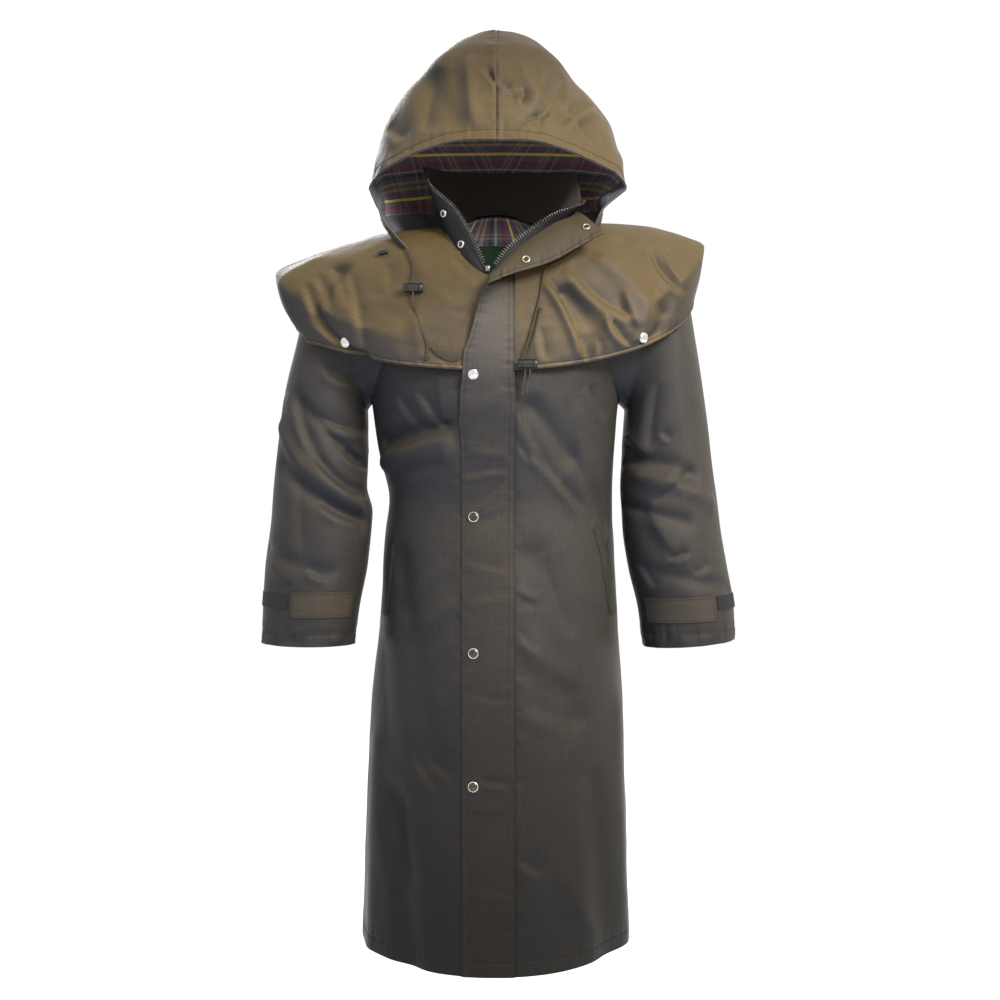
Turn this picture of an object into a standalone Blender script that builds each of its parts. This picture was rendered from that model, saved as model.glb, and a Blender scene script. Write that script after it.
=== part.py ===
"""A long hooded cape coat, filled out as worn and empty inside.

Metres, +Z up. The front faces -Y and +X is the wearer's left. The origin is the base of the neck,
midway between the shoulder seams.
"""

import math
from collections import namedtuple

import bmesh
import bpy
import numpy as np
from mathutils import Matrix, Vector
from mathutils.bvhtree import BVHTree

# Cloth and clearances
COAT_CLOTH = 0.0018
CAPE_CLOTH = 0.0016
HOOD_CLOTH = 0.0014
COLLAR_CLOTH = 0.0022
LINING_CLOTH = 0.0010
TAPE_CLOTH = 0.0012
SEAM_GAP = 0.0004
LAY_GAP = 0.0005

# Numbers of columns and rows
SKIRT_ROWS = 12
YOKE_ROWS = 3
FRONT_COLUMNS = 6
BACK_COLUMNS = 12
SLEEVE_COLUMNS = 16
SLEEVE_ROWS = 14
CAPE_FRONT_COLUMNS = 11
CAPE_BACK_COLUMNS = 16
CAPE_ROWS = 10
HOOD_ALONG = 10
HOOD_DOWN = 12
COLLAR_COLUMNS = 24
COLLAR_ROWS = 3
LABEL_ROWS = 4
WELT_ROWS = 11
LATHE_STEPS = 12

# Small steps for normals: in degrees and shares, and in shares alone
ANGLE_STEPS = (0.4, 0.003)
SHARE_STEPS = (0.004, 0.004)
MERGE_DISTANCE = 1e-6
RAY_START_Y = -1.0
SEAT_STEPS = 9
SEAT_REACH = 1.08

# Front closing
FLAP_FREE_X = -0.050
FLAP_SEWN_X = 0.028
FLAP_COLUMNS = 5
FLAP_JOIN = 0.030
ZIP_X = -0.011
TAPE_WIDTH = 0.005
TAPE_GAP = 0.0012
ZIP_LEFT_ANGLES = (6.0, 62.0)
ZIP_RIGHT_ANGLES = (300.0, 350.0)
LAPEL_COLUMNS = 12
LAPEL_ROWS = 4
LAPEL_SEWN_SHARE = 0.80
LAPEL_BOW = 0.006
LAPEL_GAP = 0.0014
SLIDER_SIZE = (0.007, 0.005, 0.009)
SLIDER_BEVEL = 0.0012
SLIDER_PLACE = (-0.0121, -0.1376, -0.0858)

# Armhole and trunk shape
ARMHOLE_OPEN = 36.0
ARMHOLE_CLEAR = 0.0008
ARMHOLE_CENTRE = (0.195, 0.0, -0.165)
TRUNK_SQUARENESS = 0.92
CAPE_SQUARENESS = 1.0

# Hood
HOOD_SEAT_ANGLES = (50.0, 180.0)
HOOD_SEAT_LEVELS = (0.755, 0.900)
HOOD_SEAT_LIFTS = (0.0060, 0.0031)
HOOD_LEVEL_SETTLES = 0.5
HOOD_LIFT_SETTLES = 0.4
HOOD_SEAT_FROM = 0.72
FACING_SHARE = 0.17

# Collar and back neck
COLLAR_LIFT = 0.0030
COLLAR_FACING_INSET = 0.0008
COLLAR_FACING_COLUMNS = slice(1, -2)
NECK_LINING_ROWS = 7
LABEL_BOTTOM = -0.066
LABEL_TOP = -0.014
LABEL_SHARE = 0.66
NECK_LINING_INSET = 2

# Trimmings; each stud's profile is in shares of its radius and height
STUD_RADIUS = 0.0078
STUD_HEIGHT = 0.0030
STUD_GAP = 0.0005
COLLAR_STUD_RADIUS = 0.0062
SOCKET_RADIUS = 0.0068
SOCKET_HEIGHT = 0.0024
STUD_PROFILE = ((0.0, 0.0), (0.94, 0.0), (1.0, 0.35), (0.86, 0.80), (0.45, 1.0), (0.0, 1.0))
SOCKET_PROFILE = ((0.0, 0.0), (1.0, 0.0), (0.92, 1.0), (0.60, 1.0), (0.50, 0.45), (0.0, 0.45))
WELT_WIDTH = 0.012
WELT_CLOTH = 0.0016
WELT_GAP = 0.0015
WELT_SHARES = (0.0, 0.5, 1.0)
CORD_WIDTH = 0.0030
CORD_STEP = 0.0090
CORD_ROUNDNESS = 2
CORD_START_DROP = 0.0010
TOGGLE_RADIUS = 0.0072
TOGGLE_LENGTH = 0.030
TOGGLE_RIM = 0.002
TOGGLE_BORE = 0.0025
BEAD_RADII = (0.0085, 0.0030, 0.0045)
FLAP_STUD_X = -0.033
FLAP_STUD_HEIGHTS = (-0.2458, -0.4576, -0.6593, -0.8538)

Ring = namedtuple("Ring", "name right right_z left left_z front front_z back back_z fall")
TRUNK = (
    Ring("hem", 0.213, -1.120, 0.213, -1.120, -0.215, -1.130, 0.190, -1.114, 2.0),
    Ring("shin", 0.209, -1.000, 0.209, -1.000, -0.205, -1.006, 0.185, -0.997, 2.0),
    Ring("knee", 0.200, -0.800, 0.204, -0.800, -0.190, -0.803, 0.175, -0.799, 2.0),
    Ring("thigh", 0.183, -0.600, 0.192, -0.600, -0.170, -0.600, 0.165, -0.600, 2.0),
    Ring("hip", 0.177, -0.500, 0.187, -0.500, -0.158, -0.500, 0.155, -0.500, 2.0),
    Ring("waist", 0.170, -0.430, 0.184, -0.430, -0.150, -0.430, 0.145, -0.430, 2.0),
    Ring("rib", 0.184, -0.360, 0.186, -0.360, -0.152, -0.357, 0.143, -0.357, 2.0),
    Ring("armpit", 0.194, -0.280, 0.192, -0.280, -0.155, -0.275, 0.143, -0.275, 2.0),
    Ring("chest", 0.203, -0.190, 0.203, -0.190, -0.153, -0.215, 0.141, -0.195, 2.0),
    Ring("blade", 0.206, -0.110, 0.206, -0.105, -0.148, -0.168, 0.132, -0.115, 2.0),
    Ring("shoulder", 0.192, -0.045, 0.192, -0.038, -0.1445, -0.137, 0.118, -0.050, 2.1),
    Ring("yoke", 0.138, -0.021, 0.138, -0.018, -0.141, -0.116, 0.104, -0.005, 2.3),
    Ring("neck", 0.088, -0.008, 0.088, -0.008, -0.137, -0.098, 0.092, 0.030, 2.5),
)
CAPE = (
    Ring("edge", 0.317, -0.152, 0.314, -0.120, -0.1720, -0.240, 0.170, -0.262, 1.1),
    Ring("drop", 0.342, -0.110, 0.327, -0.065, -0.1710, -0.226, 0.169, -0.220, 1.2),
    Ring("tip", 0.350, -0.078, 0.332, -0.033, -0.1690, -0.208, 0.166, -0.180, 1.4),
    Ring("over", 0.302, -0.051, 0.294, -0.015, -0.1650, -0.185, 0.158, -0.125, 1.6),
    Ring("shoulder", 0.235, -0.029, 0.234, 0.000, -0.1590, -0.155, 0.145, -0.068, 1.8),
    Ring("slope", 0.165, -0.009, 0.165, 0.003, -0.1500, -0.122, 0.123, -0.006, 2.2),
    Ring("neck", 0.0925, -0.0045, 0.0925, -0.0045, -0.1410, -0.097, 0.0965, 0.0315, 2.5),
)

Fold = namedtuple("Fold", "across along to_across to_along width depth")
TRUNK_CHART = (0.180, 1.190)
TRUNK_FOLDS = (
    Fold(-70, 0.651, -20, 0.668, 0.013, -0.011),
    Fold(-72, 0.622, -22, 0.634, 0.014, 0.008),
    Fold(14, 0.690, 64, 0.545, 0.016, -0.007),
    Fold(38, 0.613, 66, 0.530, 0.014, 0.006),
    Fold(-53, 0.496, -25, 0.252, 0.026, -0.006),
    Fold(15, 0.504, 34, 0.300, 0.026, -0.006),
    Fold(-48, 0.200, -36, 0.000, 0.022, -0.009),
    Fold(-64, 0.260, -62, 0.000, 0.024, 0.006),
    Fold(44, 0.220, 52, 0.000, 0.026, -0.007),
    Fold(66, 0.300, 68, 0.000, 0.024, 0.005),
    Fold(125, 0.300, 122, 0.000, 0.030, -0.009),
    Fold(150, 0.420, 156, 0.000, 0.030, 0.008),
    Fold(180, 0.520, 178, 0.000, 0.028, -0.010),
    Fold(206, 0.400, 202, 0.000, 0.030, 0.008),
    Fold(236, 0.300, 240, 0.000, 0.030, -0.009),
    Fold(140, 0.590, 215, 0.580, 0.020, -0.008),
)
CAPE_CHART = (0.230, 0.300)
CAPE_FOLDS = (
    Fold(-62, 0.460, -40, 0.000, 0.016, -0.011),
    Fold(-76, 0.400, -62, 0.000, 0.018, 0.005),
    Fold(-20, 0.600, -26, 0.000, 0.024, 0.004),
    Fold(28, 0.600, 25, 0.000, 0.014, -0.008),
    Fold(62, 0.600, 50, 0.080, 0.018, -0.006),
    Fold(48, 0.620, 42, 0.120, 0.016, 0.006),
    Fold(122, 0.400, 124, 0.000, 0.026, -0.004),
    Fold(150, 0.600, 152, 0.000, 0.026, 0.008),
    Fold(180, 0.640, 178, 0.000, 0.026, -0.009),
    Fold(210, 0.600, 208, 0.000, 0.026, 0.008),
    Fold(238, 0.400, 236, 0.000, 0.026, -0.004),
)

Cuff = namedtuple("Cuff", "name outer_x outer_z inner_x inner_z middle_y half_depth")
SLEEVE_LEFT = (
    Cuff("cap", 0.256, -0.045, 0.206, -0.296, 0.000, 0.080),
    Cuff("upper", 0.298, -0.090, 0.204, -0.318, 0.000, 0.079),
    Cuff("bicep", 0.3165, -0.180, 0.201, -0.345, -0.002, 0.082),
    Cuff("above_elbow", 0.332, -0.285, 0.199, -0.378, -0.006, 0.079),
    Cuff("elbow", 0.341, -0.370, 0.197, -0.420, -0.012, 0.079),
    Cuff("forearm", 0.352, -0.450, 0.200, -0.468, -0.020, 0.078),
    Cuff("low", 0.363, -0.530, 0.209, -0.540, -0.028, 0.076),
    Cuff("wrist", 0.374, -0.600, 0.224, -0.606, -0.035, 0.073),
    Cuff("mouth", 0.376, -0.652, 0.231, -0.664, -0.040, 0.070),
)
SLEEVE_RIGHT = (
    Cuff("cap", 0.256, -0.058, 0.206, -0.296, 0.000, 0.080),
    Cuff("upper", 0.296, -0.102, 0.205, -0.318, 0.000, 0.079),
    Cuff("bicep", 0.3185, -0.190, 0.204, -0.345, -0.002, 0.082),
    Cuff("above_elbow", 0.338, -0.285, 0.204, -0.378, -0.006, 0.080),
    Cuff("elbow", 0.348, -0.370, 0.205, -0.415, -0.012, 0.080),
    Cuff("forearm", 0.354, -0.450, 0.196, -0.458, -0.020, 0.081),
    Cuff("low", 0.364, -0.535, 0.202, -0.535, -0.028, 0.079),
    Cuff("wrist", 0.367, -0.600, 0.215, -0.602, -0.035, 0.075),
    Cuff("mouth", 0.368, -0.657, 0.223, -0.660, -0.040, 0.071),
)
SLEEVE_CHART = (0.080, 0.620)
SLEEVE_FOLDS_LEFT = (
    Fold(150, 0.380, 60, 0.520, 0.014, -0.007),
    Fold(160, 0.560, 80, 0.640, 0.014, -0.006),
    Fold(130, 0.470, 40, 0.600, 0.014, 0.005),
    Fold(250, 0.480, 330, 0.560, 0.016, -0.006),
    Fold(120, 0.780, 30, 0.840, 0.014, -0.004),
)
SLEEVE_FOLDS_RIGHT = (
    Fold(30, 0.420, 140, 0.580, 0.014, 0.007),
    Fold(40, 0.500, 150, 0.640, 0.013, -0.007),
    Fold(60, 0.340, 150, 0.380, 0.014, -0.006),
    Fold(250, 0.500, 330, 0.580, 0.016, -0.006),
    Fold(20, 0.720, 110, 0.780, 0.014, -0.004),
)

# The hood's left half from the top seam down to the neck: face edge, side, rear and back seam.
HoodRow = namedtuple("HoodRow", "name down face side rear back")
HOOD_STATIONS = (0.0, 0.42, 0.78, 1.0)
HOOD = (
    HoodRow(
        "top", 0.00,
        (0.000, -0.150, 0.105), (0.000, -0.060, 0.280),
        (0.000, 0.005, 0.316), (0.000, 0.045, 0.315),
    ),
    HoodRow(
        "crown", 0.15,
        (0.050, -0.148, 0.104), (0.077, -0.042, 0.270),
        (0.050, 0.046, 0.304), (0.000, 0.080, 0.301),
    ),
    HoodRow(
        "upper", 0.30,
        (0.100, -0.136, 0.094), (0.126, -0.018, 0.226),
        (0.078, 0.085, 0.258), (0.000, 0.115, 0.262),
    ),
    HoodRow(
        "temple", 0.50,
        (0.163, -0.098, 0.074), (0.177, -0.004, 0.155),
        (0.112, 0.108, 0.190), (0.000, 0.140, 0.200),
    ),
    HoodRow(
        "cheek", 0.70,
        (0.199, -0.045, 0.052), (0.188, 0.018, 0.095),
        (0.118, 0.112, 0.122), (0.000, 0.146, 0.132),
    ),
    HoodRow(
        "jaw", 0.86,
        (0.177, -0.060, 0.010), (0.150, 0.030, 0.045),
        (0.102, 0.098, 0.062), (0.000, 0.132, 0.076),
    ),
    HoodRow(
        "neck", 1.00,
        (0.130, -0.100, -0.045), (0.110, 0.005, 0.000),
        (0.080, 0.075, 0.012), (0.000, 0.105, 0.026),
    ),
)
# How much wider the hood's left half is, as a share of its width, at places down it.
HOOD_LEFT_WIDER = ((0.0, 0.0), (0.30, 0.0), (0.50, 0.035), (0.70, 0.030), (0.86, -0.085), (1.0, 0.0))
HOOD_CHART = (0.300, 0.420)
HOOD_FOLDS = (
    Fold(0.10, 0.18, 0.45, 0.30, 0.018, -0.004),
    Fold(0.06, 0.55, 0.40, 0.66, 0.020, 0.004),
    Fold(0.55, 0.60, 0.85, 0.85, 0.022, -0.005),
    Fold(0.15, 0.84, 0.55, 0.92, 0.018, -0.005),
)

CollarEdge = namedtuple("CollarEdge", "name angle x y z")
COLLAR = (
    CollarEdge("left_zip_end", 4, -0.0080, -0.1370, -0.0870),
    CollarEdge("left_low", 14, 0.0220, -0.1330, -0.0500),
    CollarEdge("left_middle", 25, 0.0520, -0.1280, -0.0260),
    CollarEdge("left_high", 40, 0.0900, -0.1170, -0.0010),
    CollarEdge("left_corner", 60, 0.1340, -0.0980, 0.0210),
    CollarEdge("left_side", 90, 0.1310, -0.0100, 0.0850),
    CollarEdge("left_back", 135, 0.0920, 0.0750, 0.1030),
    CollarEdge("back", 180, 0.0000, 0.1080, 0.1080),
    CollarEdge("right_back", 225, -0.0850, 0.0750, 0.1060),
    CollarEdge("right_side", 270, -0.1180, -0.0050, 0.0980),
    CollarEdge("right_corner", 304, -0.1020, -0.0800, 0.0510),
    CollarEdge("right_high", 325, -0.0630, -0.1050, 0.0110),
    CollarEdge("right_low", 340, -0.0390, -0.1220, -0.0300),
    CollarEdge("right_zip_end", 352, -0.0140, -0.1370, -0.0870),
)

FlapRow = namedtuple("FlapRow", "name free_x free_z stand_off sewn_x sewn_z")
FLAP_TOP = (
    FlapRow("cape_edge", -0.0490, -0.2440, 0.0010, 0.0280, -0.2440),
    FlapRow("low", -0.0470, -0.2150, 0.0030, 0.0280, -0.2130),
    FlapRow("middle", -0.0385, -0.1900, 0.0070, 0.0280, -0.1820),
    FlapRow("turn", -0.0300, -0.1600, 0.0130, 0.0280, -0.1500),
    FlapRow("break", -0.0225, -0.1350, 0.0230, 0.0275, -0.1200),
    FlapRow("corner", -0.0130, -0.1180, 0.0320, 0.0265, -0.0960),
)
LapelRow = namedtuple("LapelRow", "name angle x y z")
LAPEL = (
    LapelRow("break", 5, -0.0117, -0.1860, -0.1142),
    LapelRow("low", 18, 0.0222, -0.1760, -0.0990),
    LapelRow("middle", 36, 0.0787, -0.1650, -0.0795),
    LapelRow("high", 50, 0.1227, -0.1520, -0.0556),
    LapelRow("tip", 61, 0.1610, -0.1380, -0.0330),
)

Spot = namedtuple("Spot", "x z")
CAPE_STUDS = {"right": Spot(-0.2250, -0.1940), "left": Spot(0.2220, -0.1880)}
LAPEL_SOCKETS = {"tip": Spot(0.1360, -0.0230), "low": Spot(0.0450, -0.0760)}
COLLAR_STUDS = {"low": Spot(-0.0520, -0.0460), "high": Spot(-0.0790, 0.0040)}
BEAD_SPOT = Spot(-0.1720, -0.0560)
WELTS = {
    "right": (Spot(-0.1555, -0.502), Spot(-0.1620, -0.560), Spot(-0.1680, -0.614)),
    "left": (Spot(0.1490, -0.478), Spot(0.1610, -0.522), Spot(0.1690, -0.570), Spot(0.1750, -0.612)),
}
Tab = namedtuple("Tab", "from_angle to_angle from_along to_along")
CUFF_TABS = {"right": Tab(72, 148, 0.841, 0.915), "left": Tab(60, 150, 0.858, 0.930)}
LOOP_STRIPS = {"right": Tab(-14, 68, 0.848, 0.890), "left": Tab(-12, 56, 0.860, 0.900)}

CordPoint = namedtuple("CordPoint", "x z lift")
CORDS = {
    "right_long": (
        CordPoint(-0.1240, -0.085, 0.0060),
        CordPoint(-0.1236, -0.100, 0.0095),
        CordPoint(-0.1236, -0.115, 0.0110),
        CordPoint(-0.1236, -0.130, 0.0095),
        CordPoint(-0.1190, -0.150, 0.0040),
        CordPoint(-0.1100, -0.180, 0.0030),
        CordPoint(-0.1015, -0.204, 0.0030),
        CordPoint(-0.1025, -0.223, 0.0030),
    ),
    "right_short": (
        CordPoint(-0.0965, -0.206, 0.0024),
        CordPoint(-0.0850, -0.216, 0.0024),
        CordPoint(-0.0710, -0.224, 0.0024),
        CordPoint(-0.0610, -0.226, 0.0024),
        CordPoint(-0.0550, -0.225, 0.0024),
    ),
    "left_long": (
        CordPoint(0.1000, -0.072, 0.0100),
        CordPoint(0.0740, -0.088, 0.0060),
        CordPoint(0.0655, -0.130, 0.0030),
        CordPoint(0.0610, -0.148, 0.0040),
        CordPoint(0.0500, -0.190, 0.0060),
        CordPoint(0.0435, -0.216, 0.0098),
        CordPoint(0.0435, -0.231, 0.0098),
        CordPoint(0.0435, -0.246, 0.0098),
        CordPoint(0.0400, -0.262, 0.0095),
        CordPoint(0.0386, -0.278, 0.0095),
    ),
    "left_short": (
        CordPoint(0.0660, -0.149, 0.0040),
        CordPoint(0.0565, -0.190, 0.0060),
        CordPoint(0.0505, -0.216, 0.0098),
        CordPoint(0.0505, -0.231, 0.0098),
        CordPoint(0.0505, -0.246, 0.0098),
        CordPoint(0.0465, -0.260, 0.0095),
        CordPoint(0.0450, -0.274, 0.0095),
    ),
}
TOGGLE_HEIGHTS = {"right": -0.115, "left": -0.231}

Look = namedtuple("Look", "colour roughness metallic")
OLIVE = Look((0.115, 0.085, 0.040), 0.62, 0.0)
BROWN = Look((0.052, 0.046, 0.040), 0.66, 0.0)
DARK_CORD_CLOTH = Look((0.018, 0.014, 0.012), 0.85, 0.0)
CHECK = Look((0.060, 0.045, 0.040), 0.85, 0.0)
GREEN = Look((0.020, 0.070, 0.040), 0.70, 0.0)
ZIP_CLOTH = Look((0.060, 0.060, 0.060), 0.70, 0.0)
STEEL = Look((0.600, 0.600, 0.600), 0.28, 1.0)
BRASS = Look((0.600, 0.440, 0.200), 0.30, 1.0)
LOOP_PILE = Look((0.020, 0.020, 0.020), 0.90, 0.0)
OLIVE_CORD = Look((0.090, 0.080, 0.045), 0.80, 0.0)
BLACK_PLASTIC = Look((0.020, 0.020, 0.022), 0.40, 0.0)


# Curves and surfaces


def smooth(stations, values, at):
    """Reads a curve without overshoot, through values at rising stations, at the given places.

    Values are a table (station, column) or arrays over the places (station, place..., column).
    """
    at = np.asarray(at, float)
    stations = np.asarray(stations, float)
    values = np.asarray(values, float)
    if values.ndim == 2:
        values = values.reshape(len(stations), *([1] * at.ndim), -1)
    values = np.broadcast_to(values, (len(stations), *at.shape, values.shape[-1]))
    rise = np.diff(values, axis=0) / np.diff(stations).reshape(-1, *([1] * (values.ndim - 1)))
    before, after = rise[:-1], rise[1:]
    agree = before * after > 0
    mean = 2 * before * after / np.where(agree, before + after, 1.0)
    slope = np.concatenate([rise[:1], np.where(agree, mean, 0.0), rise[-1:]])
    start = np.clip(np.searchsorted(stations, at, side="right") - 1, 0, len(stations) - 2)
    span = (stations[start + 1] - stations[start])[..., None]
    part = np.clip((at - stations[start])[..., None] / span, 0, 1)

    def pick(table, index):
        return np.take_along_axis(table, index[None, ..., None], axis=0)[0]

    first, last = pick(values, start), pick(values, start + 1)
    leave, arrive = pick(slope, start) * span, pick(slope, start + 1) * span
    turn = part * part * (3 - 2 * part)
    out = part * (1 - part) ** 2
    back = part * part * (part - 1)
    return first + (last - first) * turn + leave * out + arrive * back


def ease(low, high, value):
    """Rises smoothly from 0 at low to 1 at high."""
    part = np.clip((np.asarray(value, float) - low) / (high - low), 0, 1)
    return part * part * (3 - 2 * part)


def levels_of(rings):
    """Each ring's share of the way up the side."""
    path = np.array([(ring.left, ring.left_z) for ring in rings])
    steps = np.linalg.norm(np.diff(path, axis=0), axis=1)
    return np.concatenate([[0.0], np.cumsum(steps)]) / steps.sum()


def level_of(rings, name):
    return float(levels_of(rings)[[ring.name for ring in rings].index(name)])


def on_rings(rings, squareness, angle, level):
    """Points through the rings, by angle in degrees (0 front, 90 wearer's left) and level."""
    angle, level = np.broadcast_arrays(np.asarray(angle, float), np.asarray(level, float))
    columns = smooth(levels_of(rings), [ring[1:] for ring in rings], level)
    right, right_z, left, left_z, front, front_z, back, back_z, fall = np.moveaxis(columns, -1, 0)
    sine, cosine = np.sin(np.radians(angle)), np.cos(np.radians(angle))
    is_left, is_front = sine >= 0, cosine >= 0
    side_z = np.where(is_left, left_z, right_z)
    end_z = np.where(is_front, front_z, back_z)
    share = np.abs(cosine) ** np.where(is_front, fall, 2.0)
    x = np.where(is_left, left, -right) * np.abs(sine) ** squareness
    y = np.where(is_front, front, back) * np.abs(cosine) ** squareness
    return np.stack([x, y, side_z + (end_z - side_z) * share], axis=-1)


def unit(vectors):
    return vectors / np.linalg.norm(vectors, axis=-1, keepdims=True)


def outward(surface, across, along, steps):
    """Unit normals of a surface, from small steps across and along it."""
    step_across, step_along = steps
    sideways = surface(across + step_across, along) - surface(across - step_across, along)
    upward = surface(across, along + step_along) - surface(across, along - step_along)
    return unit(np.cross(sideways, upward))


def fold_height(folds, chart, across, along):
    """Height of the ridges and valleys at places on a chart of the given scale."""
    height = np.zeros(np.broadcast(across, along).shape)
    scale = np.array(chart)
    places = np.stack(np.broadcast_arrays(across, along), axis=-1) * scale
    for fold in folds:
        start = np.array([fold.across, fold.along]) * scale
        line = np.array([fold.to_across, fold.to_along]) * scale - start
        part = np.clip((places - start) @ line / (line @ line), 0, 1)
        away = np.linalg.norm(places - start - part[..., None] * line, axis=-1)
        height += fold.depth * np.exp(-((away / fold.width) ** 2))
    return height


def folded(base, folds, chart, across, along, steps):
    """A base surface moved along its normals by its folds."""
    across, along = np.broadcast_arrays(np.asarray(across, float), np.clip(along, 0.0, 1.0))
    height = fold_height(folds, chart, across, along)
    return base(across, along) + outward(base, across, along, steps) * height[..., None]


def degrees_chart(chart):
    """A chart's scale with its first side given per degree."""
    return (math.radians(chart[0]), chart[1])


def trunk_base(angle, level):
    return on_rings(TRUNK, TRUNK_SQUARENESS, angle, level)


def turned_from_front(angle):
    """The same angle between -90 and 270, the range that the fold tables use."""
    return (np.asarray(angle, float) + 90.0) % 360.0 - 90.0


def trunk(angle, level):
    chart = degrees_chart(TRUNK_CHART)
    return folded(trunk_base, TRUNK_FOLDS, chart, turned_from_front(angle), level, ANGLE_STEPS)


def cape_base(angle, level):
    return on_rings(CAPE, CAPE_SQUARENESS, angle, level)


def cape(angle, level):
    chart = degrees_chart(CAPE_CHART)
    return folded(cape_base, CAPE_FOLDS, chart, turned_from_front(angle), level, ANGLE_STEPS)


def front_angle(rings, squareness, x, level):
    """The angle at which the front of a ring reaches x."""
    columns = smooth(levels_of(rings), [(ring.left, ring.right) for ring in rings], level)
    half = np.where(x >= 0, columns[..., 0], columns[..., 1])
    return np.sign(x) * np.degrees(np.arcsin((np.abs(x) / half) ** (1 / squareness)))


def armhole_place(turn, shrink=0.0):
    """Angle and level on the left armhole: turn 0 at the shoulder, 90 in front, 180 at the armpit."""
    low, high = level_of(TRUNK, "armpit"), level_of(TRUNK, "shoulder")
    radians = np.radians(turn)
    half_level = (high - low) / 2 - shrink / TRUNK_CHART[1]
    half_angle = ARMHOLE_OPEN - math.degrees(shrink / TRUNK_CHART[0])
    return 90 - half_angle * np.sin(radians), (low + high) / 2 + half_level * np.cos(radians)


def sleeve_base(cuffs, side, turn, along):
    """A sleeve with its X made positive, by turn round it in degrees and share of its length."""
    turn, along = np.broadcast_arrays(np.asarray(turn, float), np.asarray(along, float))
    angle, level = armhole_place(turn, ARMHOLE_CLEAR)
    lift = outward(trunk_base, side * angle, level, ANGLE_STEPS) * ARMHOLE_CLEAR
    loop = (trunk_base(side * angle, level) + lift) * (side, 1, 1)
    cosine, sine = np.cos(np.radians(turn))[..., None], np.sin(np.radians(turn))[..., None]
    loops, centres = [loop], [np.array(ARMHOLE_CENTRE)]
    for cuff in cuffs:
        outer = np.array([cuff.outer_x, cuff.middle_y, cuff.outer_z])
        inner = np.array([cuff.inner_x, cuff.middle_y, cuff.inner_z])
        forward = np.array([0.0, -cuff.half_depth, 0.0])
        loops.append((outer + inner) / 2 + (outer - inner) / 2 * cosine + forward * sine)
        centres.append((outer + inner) / 2)
    steps = np.linalg.norm(np.diff(centres, axis=0), axis=1)
    stations = np.concatenate([[0.0], np.cumsum(steps)]) / steps.sum()
    return smooth(stations, np.stack(loops), along)


def sleeve(side, turn, along):
    """A folded sleeve with its X made positive."""
    cuffs, folds = (SLEEVE_LEFT, SLEEVE_FOLDS_LEFT) if side > 0 else (SLEEVE_RIGHT, SLEEVE_FOLDS_RIGHT)

    def base(base_turn, base_along):
        return sleeve_base(cuffs, side, base_turn, base_along)

    return folded(base, folds, degrees_chart(SLEEVE_CHART), turn, along, ANGLE_STEPS)


def hood_seat(along, side):
    """Where the hood's neck edge rests on the cape, with its X made positive."""
    share = np.asarray(along, float)
    angle, level, lift = (
        first + (last - first) * part
        for (first, last), part in (
            (HOOD_SEAT_ANGLES, share),
            (HOOD_SEAT_LEVELS, ease(0.0, HOOD_LEVEL_SETTLES, share)),
            (HOOD_SEAT_LIFTS, ease(0.0, HOOD_LIFT_SETTLES, share)),
        )
    )
    normals = outward(cape, side * angle, level, ANGLE_STEPS)
    return (cape(side * angle, level) + normals * lift[..., None]) * (side, 1, 1)


def hood_base(side, down, along):
    """Half the hood with its X made positive: down from the top seam, along from face to back."""
    down, along = np.broadcast_arrays(np.asarray(down, float), np.asarray(along, float))
    rows = [row.down for row in HOOD]
    lines = [smooth(rows, [row[2 + k] for row in HOOD], down) for k in range(len(HOOD_STATIONS))]
    points = smooth(HOOD_STATIONS, np.stack(lines), along)
    if side > 0:
        places, wider = zip(*HOOD_LEFT_WIDER)
        points[..., 0] *= 1 + smooth(places, np.array(wider)[:, None], down)[..., 0]
    last = np.ones_like(along)
    ends = [smooth(rows, [row[2 + k] for row in HOOD], last) for k in range(len(HOOD_STATIONS))]
    neck = smooth(HOOD_STATIONS, np.stack(ends), along)
    share = ease(HOOD_SEAT_FROM, 1.0, down)
    return points + (hood_seat(along, side) - neck) * share[..., None]


def hood(side, down, along):
    """Half the hood with its folds, and its X made positive."""

    def base(base_down, base_along):
        return hood_base(side, base_down, base_along)

    down, along = np.clip(down, 0.0, 1.0), np.clip(along, 0.0, 1.0)
    height = fold_height(HOOD_FOLDS, HOOD_CHART, along, down)
    points = base(down, along) + outward(base, down, along, SHARE_STEPS) * height[..., None]
    points[..., 0] = np.where(np.asarray(down) <= 0, 0.0, np.maximum(points[..., 0], 0.0))
    return points


def collar(angle, height):
    """The collar by angle and share of its height, from the neck seam to the zip or top edge."""
    angle, height = np.broadcast_arrays(np.asarray(angle, float), np.asarray(height, float))
    seam = trunk_base(angle, np.ones_like(angle)) + (0, 0, COLLAR_LIFT)
    edge = smooth([row.angle for row in COLLAR], [row[2:] for row in COLLAR], angle)
    return seam + (edge - seam) * height[..., None]


def collar_top(angle):
    """The share of the collar's height where its cloth ends and the zip tape begins."""
    tall = np.linalg.norm(collar(angle, 1.0) - collar(angle, 0.0), axis=-1)
    return 1 - TAPE_WIDTH / tall


# Bodies


def material(name, look):
    made = bpy.data.materials.new(name)
    made.use_nodes = True
    shader = made.node_tree.nodes["Principled BSDF"]
    shader.inputs["Base Color"].default_value = (*look.colour, 1.0)
    shader.inputs["Roughness"].default_value = look.roughness
    shader.inputs["Metallic"].default_value = look.metallic
    return made


def add_object(name, data, look):
    made = bpy.data.objects.new(name, data)
    data.materials.append(material(name, look))
    bpy.context.scene.collection.objects.link(made)
    return made


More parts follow.
